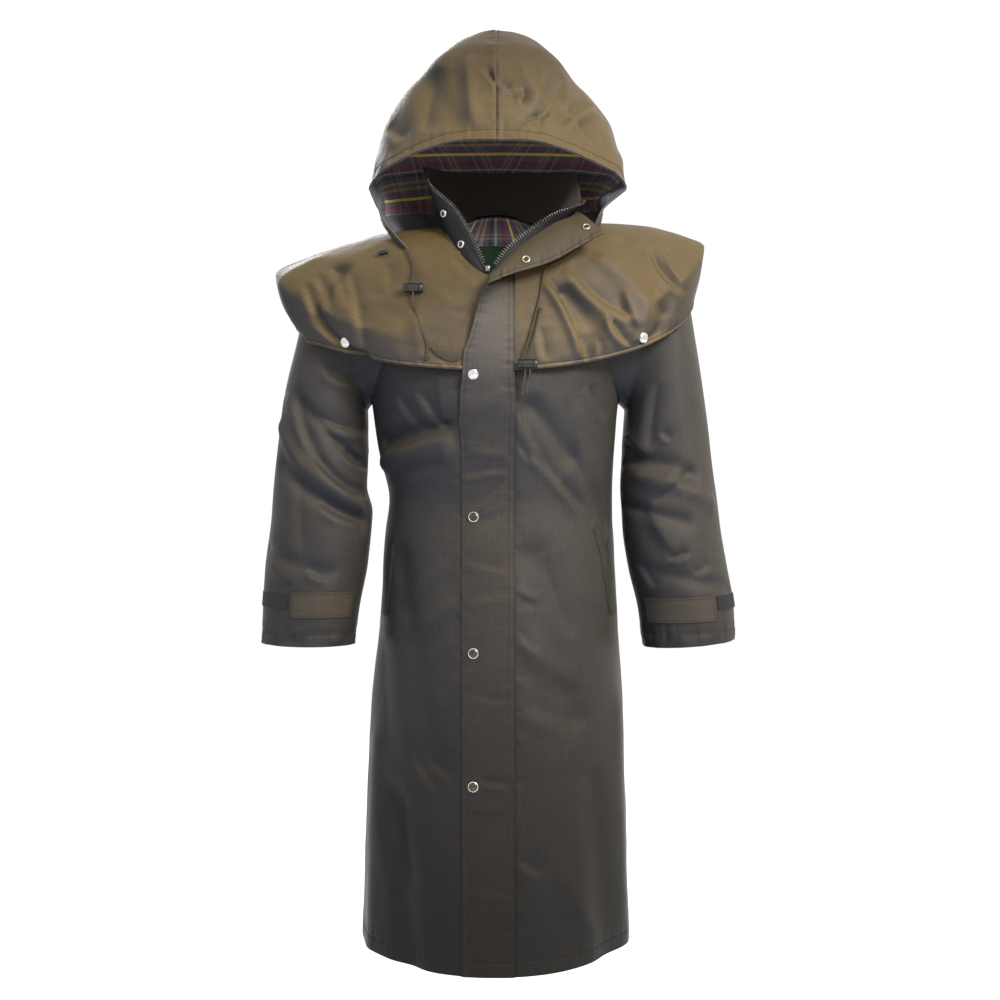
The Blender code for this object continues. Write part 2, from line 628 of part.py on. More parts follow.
def wall(name, outer, inner, look, closed=False, turned=False):
    """One closed body between two grids of points; turned faces split along their other diagonal."""
    rows, columns = outer.shape[:2]
    points = np.concatenate([outer.reshape(-1, 3), inner.reshape(-1, 3)])
    inside = rows * columns
    spans = columns if closed else columns - 1
    faces = []
    for row in range(rows - 1):
        for column in range(spans):
            a = row * columns + column
            b = row * columns + (column + 1) % columns
            c, d = b + columns, a + columns
            a, b, c, d = (b, c, d, a) if turned else (a, b, c, d)
            faces.append((a, b, c, d))
            faces.append((inside + a, inside + d, inside + c, inside + b))
    for column in range(spans):
        after = (column + 1) % columns
        faces.append((after, column, inside + column, inside + after))
        a, b = (rows - 1) * columns + column, (rows - 1) * columns + after
        faces.append((a, b, inside + b, inside + a))
    if not closed:
        for row in range(rows - 1):
            a, d = row * columns, (row + 1) * columns
            faces.append((a, d, inside + d, inside + a))
            b, c = a + columns - 1, d + columns - 1
            faces.append((c, b, inside + b, inside + c))
    mesh = bpy.data.meshes.new(name)
    mesh.from_pydata(points.tolist(), [], faces)
    return add_object(name, mesh, look)


def trimmed(grid, first_column=0.0, last_column=0.0, first_row=0.0, last_row=0.0):
    """A grid whose edges are drawn in by the given distances."""
    grid = grid.copy()
    grid[:, 0] += unit(grid[:, 1] - grid[:, 0]) * first_column
    grid[:, -1] += unit(grid[:, -2] - grid[:, -1]) * last_column
    grid[0] += unit(grid[1] - grid[0]) * first_row
    grid[-1] += unit(grid[-2] - grid[-1]) * last_row
    return grid


def mirrored(grid):
    """A grid on the other side of the coat, still facing out."""
    return grid[:, ::-1] * (-1, 1, 1)


def grid_normals(grid):
    """Unit normals from a grid's own points."""
    return unit(np.cross(np.gradient(grid, axis=1), np.gradient(grid, axis=0)))


def lathe(name, profile, place, axis, look):
    """A body turned from (radius, height) points about an axis through a place."""
    shape = bmesh.new()
    verts = [shape.verts.new((radius, 0, height)) for radius, height in profile]
    edges = [shape.edges.new(pair) for pair in zip(verts, verts[1:])]
    bmesh.ops.spin(
        shape,
        geom=verts + edges,
        axis=(0, 0, 1),
        cent=(0, 0, 0),
        steps=LATHE_STEPS,
        angle=2 * math.pi,
    )
    bmesh.ops.remove_doubles(shape, verts=shape.verts, dist=MERGE_DISTANCE)
    bmesh.ops.recalc_face_normals(shape, faces=shape.faces)
    upright = Vector((0, 0, 1)).rotation_difference(Vector(axis)).to_matrix().to_4x4()
    bmesh.ops.transform(shape, matrix=Matrix.Translation(place) @ upright, verts=shape.verts)
    mesh = bpy.data.meshes.new(name)
    shape.to_mesh(mesh)
    shape.free()
    return add_object(name, mesh, look)


def tree_of(made):
    points = [vert.co for vert in made.data.vertices]
    return BVHTree.FromPolygons(points, [tuple(face.vertices) for face in made.data.polygons])


def front_hit(made, x, z):
    """The frontmost point of an object at x and z, and its normal; None where it has none."""
    place, normal, _, _ = tree_of(made).ray_cast(Vector((x, RAY_START_Y, z)), Vector((0, 1, 0)))
    return (None, None) if place is None else (np.array(place), np.array(normal))


def seat_on(made, spot, radius):
    """The middle and normal of a flat seat of a radius that just clears an object's front."""
    middle, _ = front_hit(made, spot.x, spot.z)
    reach = radius * SEAT_REACH
    offsets = np.linspace(-reach, reach, SEAT_STEPS)
    hits = [front_hit(made, spot.x + x, spot.z + z) for x in offsets for z in offsets]
    near = [hit for hit in hits if hit[0] is not None and np.linalg.norm(hit[0] - middle) <= reach]
    normal = unit(np.sum([turn for _, turn in near], axis=0))
    rise = max((place - middle) @ normal for place, _ in near)
    return middle + normal * (rise + STUD_GAP), normal


def stud(name, made, spot, radius, look):
    """A domed press stud on an object's front."""
    place, normal = seat_on(made, spot, radius)
    profile = [(radius * out, STUD_HEIGHT * up) for out, up in STUD_PROFILE]
    return lathe(name, profile, place, normal, look)


def socket(name, made, spot, look):
    """A ring-shaped press stud socket on an object's front."""
    place, normal = seat_on(made, spot, SOCKET_RADIUS)
    profile = [(SOCKET_RADIUS * out, SOCKET_HEIGHT * up) for out, up in SOCKET_PROFILE]
    return lathe(name, profile, place, normal, look)


# Coat


def trunk_levels():
    """Levels of the coat's rows: hem to armpit, up the armhole, then to the neck."""
    armpit, shoulder = level_of(TRUNK, "armpit"), level_of(TRUNK, "shoulder")
    skirt = np.linspace(0, armpit, SKIRT_ROWS + 1)[:-1]
    _, arm = armhole_place(np.linspace(180, 0, SLEEVE_COLUMNS // 2 + 1))
    yoke = np.linspace(shoulder, 1, YOKE_ROWS + 1)[1:]
    return np.concatenate([skirt, arm, yoke])


def armhole_opening(level):
    """Half the armhole's angle at a level."""
    low, high = level_of(TRUNK, "armpit"), level_of(TRUNK, "shoulder")
    part = (level - (low + high) / 2) / ((high - low) / 2)
    return ARMHOLE_OPEN * np.sqrt(np.clip(1 - part * part, 0, None))


def coat_wall(name, angles, levels, edges):
    outer = trimmed(trunk(angles, levels), **edges)
    inner = outer - outward(trunk, angles, levels, ANGLE_STEPS) * COAT_CLOTH
    return wall(name, outer, inner, BROWN)


def flap_columns():
    return np.linspace(FLAP_FREE_X, FLAP_SEWN_X, FLAP_COLUMNS)


def front_angles(side, levels):
    """A front's columns: at the flap's columns near the middle, then evenly to the side seam."""
    columns, middle = flap_columns(), FLAP_COLUMNS // 2
    centre = columns[middle:] if side > 0 else columns[middle::-1]
    near = [front_angle(TRUNK, TRUNK_SQUARENESS, np.full_like(levels, x), levels) for x in centre]
    limit = side * (90 - armhole_opening(levels))
    far = [near[-1] + (limit - near[-1]) * k / FRONT_COLUMNS for k in range(1, FRONT_COLUMNS + 1)]
    angles = np.stack(near + far, axis=1)
    return angles if side > 0 else angles[:, ::-1]


def back_grid():
    """Angles and levels of the back's columns and rows."""
    levels = trunk_levels()
    opening = armhole_opening(levels)[:, None]
    share = np.linspace(0, 1, BACK_COLUMNS + 1)[None, :]
    angles = (90 + opening) + (180 - 2 * opening) * share
    return angles, np.repeat(levels[:, None], BACK_COLUMNS + 1, axis=1)


def build_coat():
    levels = trunk_levels()
    rows = np.repeat(levels[:, None], FLAP_COLUMNS // 2 + 1 + FRONT_COLUMNS, axis=1)
    half = SEAM_GAP / 2
    edges = {"first_column": half, "last_column": half}
    front_right = coat_wall("coat_front_right", front_angles(-1, levels), rows, edges)
    front_left = coat_wall("coat_front_left", front_angles(1, levels), rows, edges)
    coat_wall("coat_back", *back_grid(), edges)
    return front_right, front_left


def between(first, last, step):
    """The two ends and each whole multiple of a step between them."""
    inside = np.arange(math.ceil(first / step), math.floor(last / step) + 1) * step
    return np.unique(np.concatenate([[first], inside, [last]]))


def build_sleeve(side_name, side):
    turns = np.arange(SLEEVE_COLUMNS) * 360.0 / SLEEVE_COLUMNS
    along = np.linspace(0, 1, SLEEVE_ROWS + 1)
    turn_grid, along_grid = np.meshgrid(turns, along)

    def surface(turn, share):
        return sleeve(side, turn, share)

    outer = surface(turn_grid, along_grid)
    inner = outer - outward(surface, turn_grid, along_grid, ANGLE_STEPS) * COAT_CLOTH
    if side < 0:
        outer, inner = mirrored(outer), mirrored(inner)
    wall(f"sleeve_{side_name}", outer, inner, BROWN, closed=True)
    for kind, tabs, cloth, look in (
        ("cuff_tab", CUFF_TABS, COAT_CLOTH, BROWN),
        ("cuff_loop_strip", LOOP_STRIPS, LINING_CLOTH, LOOP_PILE),
    ):
        tab = tabs[side_name]
        reach = between(tab.from_angle, tab.to_angle, 360.0 / SLEEVE_COLUMNS)
        turn_grid, along_grid = np.meshgrid(reach, between(tab.from_along, tab.to_along, 1 / SLEEVE_ROWS))
        normals = outward(surface, turn_grid, along_grid, ANGLE_STEPS)
        inner = surface(turn_grid, along_grid) + normals * LAY_GAP
        outer = inner + normals * cloth
        if side < 0:
            outer, inner = mirrored(outer), mirrored(inner)
        wall(f"{kind}_{side_name}", outer, inner, look)


# Cape


def cape_wall(name, angles, levels, edges):
    outer = trimmed(cape(angles, levels), **edges)
    inner = outer - outward(cape, angles, levels, ANGLE_STEPS) * CAPE_CLOTH
    return wall(name, outer, inner, OLIVE)


def build_cape():
    levels = np.linspace(0, 1, CAPE_ROWS + 1)
    half = SEAM_GAP / 2
    edges = {"first_column": half, "last_column": half}
    share = np.linspace(0, 1, CAPE_FRONT_COLUMNS + 1)[None, :]
    rows = np.repeat(levels[:, None], CAPE_FRONT_COLUMNS + 1, axis=1)
    right_x, left_x = np.full_like(levels, ZIP_X), np.full_like(levels, FLAP_SEWN_X + SEAM_GAP)
    right_edge = front_angle(CAPE, CAPE_SQUARENESS, right_x, levels)[:, None]
    left_edge = front_angle(CAPE, CAPE_SQUARENESS, left_x, levels)[:, None]
    right = cape_wall("cape_front_right", -90 + (right_edge + 90) * share, rows, edges)
    left = cape_wall("cape_front_left", left_edge + (90 - left_edge) * share, rows, edges)
    angles, rows = np.meshgrid(np.linspace(90, 270, CAPE_BACK_COLUMNS + 1), levels)
    cape_wall("cape_back", angles, rows, edges)
    return right, left


# Hood


def build_hood_half(side_name, side):
    """The outer half, its lining and its facing; returns the corner that the cord leaves."""
    down, along = np.meshgrid(np.linspace(0, 1, HOOD_DOWN + 1), np.linspace(0, 1, HOOD_ALONG + 1))

    def surface(place_down, place_along):
        return hood(side, place_down, place_along)

    outer = surface(down, along)
    normals = grid_normals(outer)
    normals[:, 0, 0] = 0.0
    normals[-1, :, 0] = 0.0
    normals[-1, 0] = normals[-2, 0] + normals[-1, 1]
    normals = unit(normals)
    edge = max(2, round(FACING_SHARE * HOOD_ALONG))
    skins = {
        f"hood_{side_name}": (outer, 0.0, HOOD_CLOTH, OLIVE),
        f"hood_facing_{side_name}": (
            trimmed(outer[: edge + 1], last_row=SEAM_GAP),
            HOOD_CLOTH + SEAM_GAP,
            LINING_CLOTH,
            BROWN,
        ),
        f"hood_lining_{side_name}": (outer[edge:], HOOD_CLOTH + SEAM_GAP, LINING_CLOTH, CHECK),
    }
    for name, (grid, depth, cloth, look) in skins.items():
        rows = normals[: edge + 1] if "facing" in name else normals[-len(grid) :]
        first = grid - rows * depth
        second = first - rows * cloth
        for skin in (first, second):
            skin[..., 0] = np.maximum(skin[..., 0], SEAM_GAP / 2)
        if side < 0:
            first, second = mirrored(first), mirrored(second)
        wall(name, first, second, look, turned=side > 0)
    return outer[0, -1] * (side, 1, 1)


# Collar and neck


def collar_angles():
    return np.linspace(COLLAR[0].angle, COLLAR[-1].angle, COLLAR_COLUMNS + 1)


def collar_grid():
    """The collar's outer points and their normals."""
    angle_grid, share_grid = np.meshgrid(collar_angles(), np.linspace(0, 1, COLLAR_ROWS + 1))
    outer = collar(angle_grid, share_grid * collar_top(angle_grid))
    return outer, grid_normals(outer)


def build_collar():
    outer, normals = collar_grid()
    made = wall("collar", outer, outer - normals * COLLAR_CLOTH, BROWN)
    inside = normals[:, COLLAR_FACING_COLUMNS]
    face = outer[:, COLLAR_FACING_COLUMNS] - inside * (COLLAR_CLOTH + SEAM_GAP)
    face = trimmed(face, first_row=COLLAR_FACING_INSET, last_row=COLLAR_FACING_INSET)
    wall("collar_facing", face, face - inside * LINING_CLOTH, DARK_CORD_CLOTH)
    return made


def build_zip():
    for side_name, (first, last) in (("left", ZIP_LEFT_ANGLES), ("right", ZIP_RIGHT_ANGLES)):
        inside = (collar_angles() >= first) & (collar_angles() <= last)
        angle_grid, share_grid = np.meshgrid(collar_angles()[inside], np.linspace(0, 1, 2))
        top = collar_top(angle_grid)
        middle = trimmed(collar(angle_grid, top + (1 - top) * share_grid), first_row=TAPE_GAP)
        normals = collar_grid()[1][-1:, inside]
        outer = middle - normals * (COLLAR_CLOTH - TAPE_CLOTH) / 2
        wall(f"zip_tape_{side_name}", outer, outer - normals * TAPE_CLOTH, ZIP_CLOTH)
    shape = bmesh.new()
    bmesh.ops.create_cube(shape, size=1)
    bmesh.ops.scale(shape, vec=SLIDER_SIZE, verts=shape.verts)
    bmesh.ops.bevel(shape, geom=shape.edges[:], offset=SLIDER_BEVEL, segments=1, affect="EDGES")
    bmesh.ops.translate(shape, vec=SLIDER_PLACE, verts=shape.verts)
    mesh = bpy.data.meshes.new("zip_slider")
    shape.to_mesh(mesh)
    shape.free()
    add_object("zip_slider", mesh, STEEL)


def build_neck_lining():
    """The checked lining inside the back neck, on the back's own points, and a blank label on it."""
    angles, levels = (grid[-NECK_LINING_ROWS:, NECK_LINING_INSET:-NECK_LINING_INSET] for grid in back_grid())
    normals = outward(trunk, angles, levels, ANGLE_STEPS)
    outer = trimmed(trunk(angles, levels) - normals * (COAT_CLOTH + LAY_GAP), last_row=COLLAR_LIFT / 2)
    inner = outer - normals * LINING_CLOTH
    wall("neck_lining", outer, inner, CHECK)
    middle = inner.shape[1] // 2
    places = np.linspace(LABEL_BOTTOM, LABEL_TOP, LABEL_ROWS)
    skins = []
    for grid in (inner, normals):
        columns = grid[:, middle - 1 : middle + 2]
        columns = columns[:, 1:2] + (columns - columns[:, 1:2]) * LABEL_SHARE
        table = smooth(inner[:, middle, 2], columns.reshape(len(grid), -1), places)
        skins.append(table.reshape(LABEL_ROWS, -1, 3))
    backing, facing = skins
    outer = backing - facing * LAY_GAP
    wall("neck_label", outer, outer - facing * LINING_CLOTH, GREEN)


# Storm flap


def build_flap():
    """The flap over the zip, from the hem to the corner where its top turns back."""
    columns = flap_columns()
    edge = FLAP_TOP[0].free_z
    rows = []
    for level in trunk_levels():
        angles = front_angle(TRUNK, TRUNK_SQUARENESS, columns, np.full_like(columns, level))
        row = trunk(angles, np.full_like(columns, level))
        if row[:, 2].max() > edge - FLAP_JOIN:
            break
        normals = outward(trunk, angles, np.full_like(columns, level), ANGLE_STEPS)
        rows.append(row + normals * (LAY_GAP + COAT_CLOTH))
    share = np.linspace(0, 1, FLAP_COLUMNS)
    for flap_row in FLAP_TOP:
        x = flap_row.free_x + (flap_row.sewn_x - flap_row.free_x) * share
        z = flap_row.free_z + (flap_row.sewn_z - flap_row.free_z) * share
        level = np.interp(z, [ring.front_z for ring in CAPE], levels_of(CAPE))
        depth = cape_base(front_angle(CAPE, CAPE_SQUARENESS, x, level), level)[:, 1]
        stand_off = flap_row.stand_off * (1 - share) ** 2 + LAY_GAP * 2 + COAT_CLOTH
        rows.append(np.stack([x, depth - stand_off, z], axis=1))
    outer = np.stack(rows)
    return wall("storm_flap", outer, outer - grid_normals(outer) * COAT_CLOTH, BROWN)


def build_lapel():
    """The flap's top, turned back so that its inner side shows."""
    angles = np.linspace(LAPEL[0].angle, LAPEL[-1].angle, LAPEL_COLUMNS + 1)
    free = smooth([row.angle for row in LAPEL], [row[2:] for row in LAPEL], angles)
    height = LAPEL_SEWN_SHARE * collar_top(angles)
    normals = outward(collar, angles, height, SHARE_STEPS)
    sewn = collar(angles, height) + normals * (LAPEL_GAP + COAT_CLOTH)
    share = np.linspace(0, 1, LAPEL_ROWS + 1)[:, None, None]
    flat = free + (sewn - free) * share
    outer = flat + grid_normals(flat) * LAPEL_BOW * np.sin(math.pi * share)
    return wall("storm_flap_lapel", outer, outer - grid_normals(outer) * COAT_CLOTH, BROWN)


# Trimmings


def build_welts(fronts):
    for side_name, made in fronts.items():
        spots = WELTS[side_name]
        side = 1 if side_name == "left" else -1
        z = np.linspace(spots[0].z, spots[-1].z, WELT_ROWS)
        x = np.interp(-z, [-spot.z for spot in spots], [spot.x for spot in spots])
        points, normals = [], []
        for offset in WELT_SHARES[::-1] if side > 0 else WELT_SHARES:
            column = [front_hit(made, px + side * WELT_WIDTH * offset, pz) for px, pz in zip(x, z)]
            points.append([place for place, _ in column])
            normals.append([normal for _, normal in column])
        points = np.array(points)[::-1].transpose(1, 0, 2)[::-1]
        normals = np.array(normals)[::-1].transpose(1, 0, 2)[::-1]
        inner = points + normals * WELT_GAP
        wall(f"pocket_welt_{side_name}", inner + normals * WELT_CLOTH, inner, BROWN)


def route_on(made, points, start):
    """A cord's route: from its start, along an object's front, then hanging straight."""
    places = [] if start is None else [start]
    depth = None
    for point in points:
        place, _ = front_hit(made, point.x, point.z)
        depth = depth if place is None else place[1] - point.lift
        places.append(np.array([point.x, depth, point.z]))
    steps = np.linalg.norm(np.diff(places, axis=0), axis=1)
    stations = np.concatenate([[0.0], np.cumsum(steps)])
    count = math.ceil(stations[-1] / CORD_STEP) + 1
    return smooth(stations, np.array(places), np.linspace(0, stations[-1], count))


def build_cord(name, route):
    curve = bpy.data.curves.new(name, "CURVE")
    curve.dimensions = "3D"
    curve.bevel_depth = CORD_WIDTH / 2
    curve.bevel_resolution = CORD_ROUNDNESS
    curve.use_fill_caps = True
    spline = curve.splines.new("POLY")
    spline.points.add(len(route) - 1)
    for point, place in zip(spline.points, route):
        point.co = (*place, 1.0)
    add_object(name, curve, OLIVE_CORD)


def cut(made, cutter):
    """Takes a cutter out of an object and removes the cutter."""
    modifier = made.modifiers.new("bore", "BOOLEAN")
    modifier.operation = "DIFFERENCE"
    modifier.object = cutter
    evaluated = made.evaluated_get(bpy.context.evaluated_depsgraph_get())
    mesh = bpy.data.meshes.new_from_object(evaluated)
    made.modifiers.clear()
    made.data = mesh
    bpy.data.objects.remove(cutter)


def build_toggle(side_name, routes):
    """A barrel toggle, bored along each cord that runs through it."""
    height = TOGGLE_HEIGHTS[side_name]
    holes = []
    for route in routes:
        order = np.argsort(route[:, 2])
        centre = smooth(route[order, 2], route[order], np.array(height))
        above = smooth(route[order, 2], route[order], np.array(height + TOGGLE_RADIUS))
        holes.append((centre, unit(above - centre)))
    middle = np.mean([centre for centre, _ in holes], axis=0)
    half, rim = TOGGLE_LENGTH / 2, TOGGLE_RIM
    profile = (
        (0, -half),
        (TOGGLE_RADIUS - rim, -half),
        (TOGGLE_RADIUS, -half + rim),
        (TOGGLE_RADIUS, half - rim),
        (TOGGLE_RADIUS - rim, half),
        (0, half),
    )
    made = lathe(f"cord_toggle_{side_name}", profile, middle, (1, 0, 0), BLACK_PLASTIC)
    deep = TOGGLE_RADIUS * 2
    tube = ((0, -deep), (TOGGLE_BORE, -deep), (TOGGLE_BORE, deep), (0, deep))
    for centre, axis in holes:
        cut(made, lathe("bore", tube, centre, axis, BLACK_PLASTIC))


def build_bead(cape_front):
    place, normal = front_hit(cape_front, BEAD_SPOT.x, BEAD_SPOT.z)
    shape = bmesh.new()
    bmesh.ops.create_icosphere(shape, subdivisions=2, radius=1)
    bmesh.ops.scale(shape, vec=BEAD_RADII, verts=shape.verts)
    turn = Vector((0, -1, 0)).rotation_difference(Vector(normal)).to_matrix().to_4x4()
    centre = place + normal * (BEAD_RADII[1] + LAY_GAP * 2)
    bmesh.ops.transform(shape, matrix=Matrix.Translation(centre) @ turn, verts=shape.verts)
    mesh = bpy.data.meshes.new("cape_bead")
    shape.to_mesh(mesh)
    shape.free()
    add_object("cape_bead", mesh, BLACK_PLASTIC)


def build_studs(flap, lapel, collar_made, capes):
    for number, height in enumerate(FLAP_STUD_HEIGHTS, 1):
        stud(f"flap_stud_{number}", flap, Spot(FLAP_STUD_X, height), STUD_RADIUS, STEEL)
    for side_name, made in capes.items():
        stud(f"cape_stud_{side_name}", made, CAPE_STUDS[side_name], STUD_RADIUS, STEEL)
    for place_name, spot in LAPEL_SOCKETS.items():
        socket(f"lapel_socket_{place_name}", lapel, spot, BRASS)
    for place_name, spot in COLLAR_STUDS.items():
        stud(f"collar_stud_{place_name}", collar_made, spot, COLLAR_STUD_RADIUS, STEEL)


def build_cords(capes, corners):
    """The drawcords, and on each side the toggle on those that reach below it."""
    drop = np.array([0.0, 0.0, -CORD_START_DROP])
    held = {"right": [], "left": []}
    for name, points in CORDS.items():
        side_name, length = name.split("_")
        start = corners[side_name] + drop if length == "long" else None
        route = route_on(capes[side_name], points, start)
        build_cord(f"drawcord_{name}", route)
        if route[0, 2] > TOGGLE_HEIGHTS[side_name] > route[-1, 2]:
            held[side_name].append(route)
    for side_name, routes in held.items():
        build_toggle(side_name, routes)


def main():
    for old in list(bpy.data.objects):
        bpy.data.objects.remove(old)
    front_right, front_left = build_coat()
    fronts = {"right": front_right, "left": front_left}
    for side_name, side in (("right", -1), ("left", 1)):
        build_sleeve(side_name, side)
    cape_right, cape_left = build_cape()
    capes = {"right": cape_right, "left": cape_left}
    corners = {name: build_hood_half(name, side) for name, side in (("right", -1), ("left", 1))}
    collar_made = build_collar()
    build_zip()
    build_neck_lining()
    flap = build_flap()
    lapel = build_lapel()
    build_welts(fronts)
    build_studs(flap, lapel, collar_made, capes)
    build_cords(capes, corners)
    build_bead(cape_right)


main()
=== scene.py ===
"""The looks of a hooded cape coat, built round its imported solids.

Metres, +Z up. The front faces -Y and +X is the wearer's left. Sizes, tables and creases come first, then
the surfaces of the solids, then the cloth forms, the finishes and the pieces built on them.
"""

import math
from collections import namedtuple

import bpy
import numpy as np
from mathutils import Matrix, Vector
from mathutils.bvhtree import BVHTree


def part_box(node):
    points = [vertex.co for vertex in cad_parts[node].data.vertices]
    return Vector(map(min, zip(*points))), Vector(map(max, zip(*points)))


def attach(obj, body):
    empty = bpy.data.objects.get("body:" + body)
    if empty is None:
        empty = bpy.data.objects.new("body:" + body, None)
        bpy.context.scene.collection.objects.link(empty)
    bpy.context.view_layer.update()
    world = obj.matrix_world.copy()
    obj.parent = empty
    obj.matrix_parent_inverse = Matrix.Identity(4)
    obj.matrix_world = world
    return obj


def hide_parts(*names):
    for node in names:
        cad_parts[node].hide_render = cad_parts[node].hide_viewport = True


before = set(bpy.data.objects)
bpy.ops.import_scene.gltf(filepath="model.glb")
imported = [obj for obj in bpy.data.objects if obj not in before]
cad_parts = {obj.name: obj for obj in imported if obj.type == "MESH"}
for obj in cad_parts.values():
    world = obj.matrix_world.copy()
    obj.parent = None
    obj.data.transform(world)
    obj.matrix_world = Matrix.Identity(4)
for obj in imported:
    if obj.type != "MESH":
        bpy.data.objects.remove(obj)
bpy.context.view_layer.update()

# Cloth and clearances
COAT_CLOTH = 0.0018
CAPE_CLOTH = 0.0016
HOOD_CLOTH = 0.0014
COLLAR_CLOTH = 0.0022
LINING_CLOTH = 0.0010
TAPE_CLOTH = 0.0012
SEAM_GAP = 0.0004
LAY_GAP = 0.0005

# Small steps for normals: in degrees and shares, and in shares alone
ANGLE_STEPS = (0.4, 0.003)
SHARE_STEPS = (0.004, 0.004)

# Where rays towards the coat's front start
RAY_START_Y = -1.0

# Front closing
FLAP_FREE_X = -0.050
FLAP_SEWN_X = 0.028
FLAP_JOIN = 0.030
ZIP_X = -0.011
TAPE_WIDTH = 0.005
ZIP_LEFT_ANGLES = (6.0, 62.0)
ZIP_RIGHT_ANGLES = (300.0, 350.0)
LAPEL_SEWN_SHARE = 0.80
LAPEL_BOW = 0.006
LAPEL_GAP = 0.0014

# Armhole and trunk shape
ARMHOLE_OPEN = 36.0
ARMHOLE_CLEAR = 0.0008
ARMHOLE_CENTRE = (0.195, 0.0, -0.165)
TRUNK_SQUARENESS = 0.92
CAPE_SQUARENESS = 1.0

# Hood
HOOD_SEAT_ANGLES = (50.0, 180.0)
HOOD_SEAT_LEVELS = (0.755, 0.900)
HOOD_SEAT_LIFTS = (0.0060, 0.0031)
HOOD_LEVEL_SETTLES = 0.5
HOOD_LIFT_SETTLES = 0.4
HOOD_SEAT_FROM = 0.72

# Collar and back neck
COLLAR_LIFT = 0.0030
NECK_LINING_ROWS = 7
NECK_LINING_INSET = 2

# Trimmings
STUD_RADIUS = 0.0078
COLLAR_STUD_RADIUS = 0.0062
SOCKET_RADIUS = 0.0068
WELT_WIDTH = 0.012
CORD_WIDTH = 0.0030
CORD_STEP = 0.0090
CORD_START_DROP = 0.0010
TOGGLE_RADIUS = 0.0072
TOGGLE_LENGTH = 0.030

Ring = namedtuple("Ring", "name right right_z left left_z front front_z back back_z fall")
TRUNK = (
    Ring("hem", 0.213, -1.120, 0.213, -1.120, -0.215, -1.130, 0.190, -1.114, 2.0),
    Ring("shin", 0.209, -1.000, 0.209, -1.000, -0.205, -1.006, 0.185, -0.997, 2.0),
    Ring("knee", 0.200, -0.800, 0.204, -0.800, -0.190, -0.803, 0.175, -0.799, 2.0),
    Ring("thigh", 0.183, -0.600, 0.192, -0.600, -0.170, -0.600, 0.165, -0.600, 2.0),
    Ring("hip", 0.177, -0.500, 0.187, -0.500, -0.158, -0.500, 0.155, -0.500, 2.0),
    Ring("waist", 0.170, -0.430, 0.184, -0.430, -0.150, -0.430, 0.145, -0.430, 2.0),
    Ring("rib", 0.184, -0.360, 0.186, -0.360, -0.152, -0.357, 0.143, -0.357, 2.0),
    Ring("armpit", 0.194, -0.280, 0.192, -0.280, -0.155, -0.275, 0.143, -0.275, 2.0),
    Ring("chest", 0.203, -0.190, 0.203, -0.190, -0.153, -0.215, 0.141, -0.195, 2.0),
    Ring("blade", 0.206, -0.110, 0.206, -0.105, -0.148, -0.168, 0.132, -0.115, 2.0),
    Ring("shoulder", 0.192, -0.045, 0.192, -0.038, -0.1445, -0.137, 0.118, -0.050, 2.1),
    Ring("yoke", 0.138, -0.021, 0.138, -0.018, -0.141, -0.116, 0.104, -0.005, 2.3),
    Ring("neck", 0.088, -0.008, 0.088, -0.008, -0.137, -0.098, 0.092, 0.030, 2.5),
)
CAPE = (
    Ring("edge", 0.317, -0.152, 0.314, -0.120, -0.1720, -0.240, 0.170, -0.262, 1.1),
    Ring("drop", 0.342, -0.110, 0.327, -0.065, -0.1710, -0.226, 0.169, -0.220, 1.2),
    Ring("tip", 0.350, -0.078, 0.332, -0.033, -0.1690, -0.208, 0.166, -0.180, 1.4),
    Ring("over", 0.302, -0.051, 0.294, -0.015, -0.1650, -0.185, 0.158, -0.125, 1.6),
    Ring("shoulder", 0.235, -0.029, 0.234, 0.000, -0.1590, -0.155, 0.145, -0.068, 1.8),
    Ring("slope", 0.165, -0.009, 0.165, 0.003, -0.1500, -0.122, 0.123, -0.006, 2.2),
    Ring("neck", 0.0925, -0.0045, 0.0925, -0.0045, -0.1410, -0.097, 0.0965, 0.0315, 2.5),
)

Fold = namedtuple("Fold", "across along to_across to_along width depth")
TRUNK_CHART = (0.180, 1.190)
TRUNK_FOLDS = (
    Fold(-70, 0.651, -20, 0.668, 0.013, -0.011),
    Fold(-72, 0.622, -22, 0.634, 0.014, 0.008),
    Fold(14, 0.690, 64, 0.545, 0.016, -0.007),
    Fold(38, 0.613, 66, 0.530, 0.014, 0.006),
    Fold(-53, 0.496, -25, 0.252, 0.026, -0.006),
    Fold(15, 0.504, 34, 0.300, 0.026, -0.006),
    Fold(-48, 0.200, -36, 0.000, 0.022, -0.009),
    Fold(-64, 0.260, -62, 0.000, 0.024, 0.006),
    Fold(44, 0.220, 52, 0.000, 0.026, -0.007),
    Fold(66, 0.300, 68, 0.000, 0.024, 0.005),
    Fold(125, 0.300, 122, 0.000, 0.030, -0.009),
    Fold(150, 0.420, 156, 0.000, 0.030, 0.008),
    Fold(180, 0.520, 178, 0.000, 0.028, -0.010),
    Fold(206, 0.400, 202, 0.000, 0.030, 0.008),
    Fold(236, 0.300, 240, 0.000, 0.030, -0.009),
    Fold(140, 0.590, 215, 0.580, 0.020, -0.008),
)
CAPE_CHART = (0.230, 0.300)
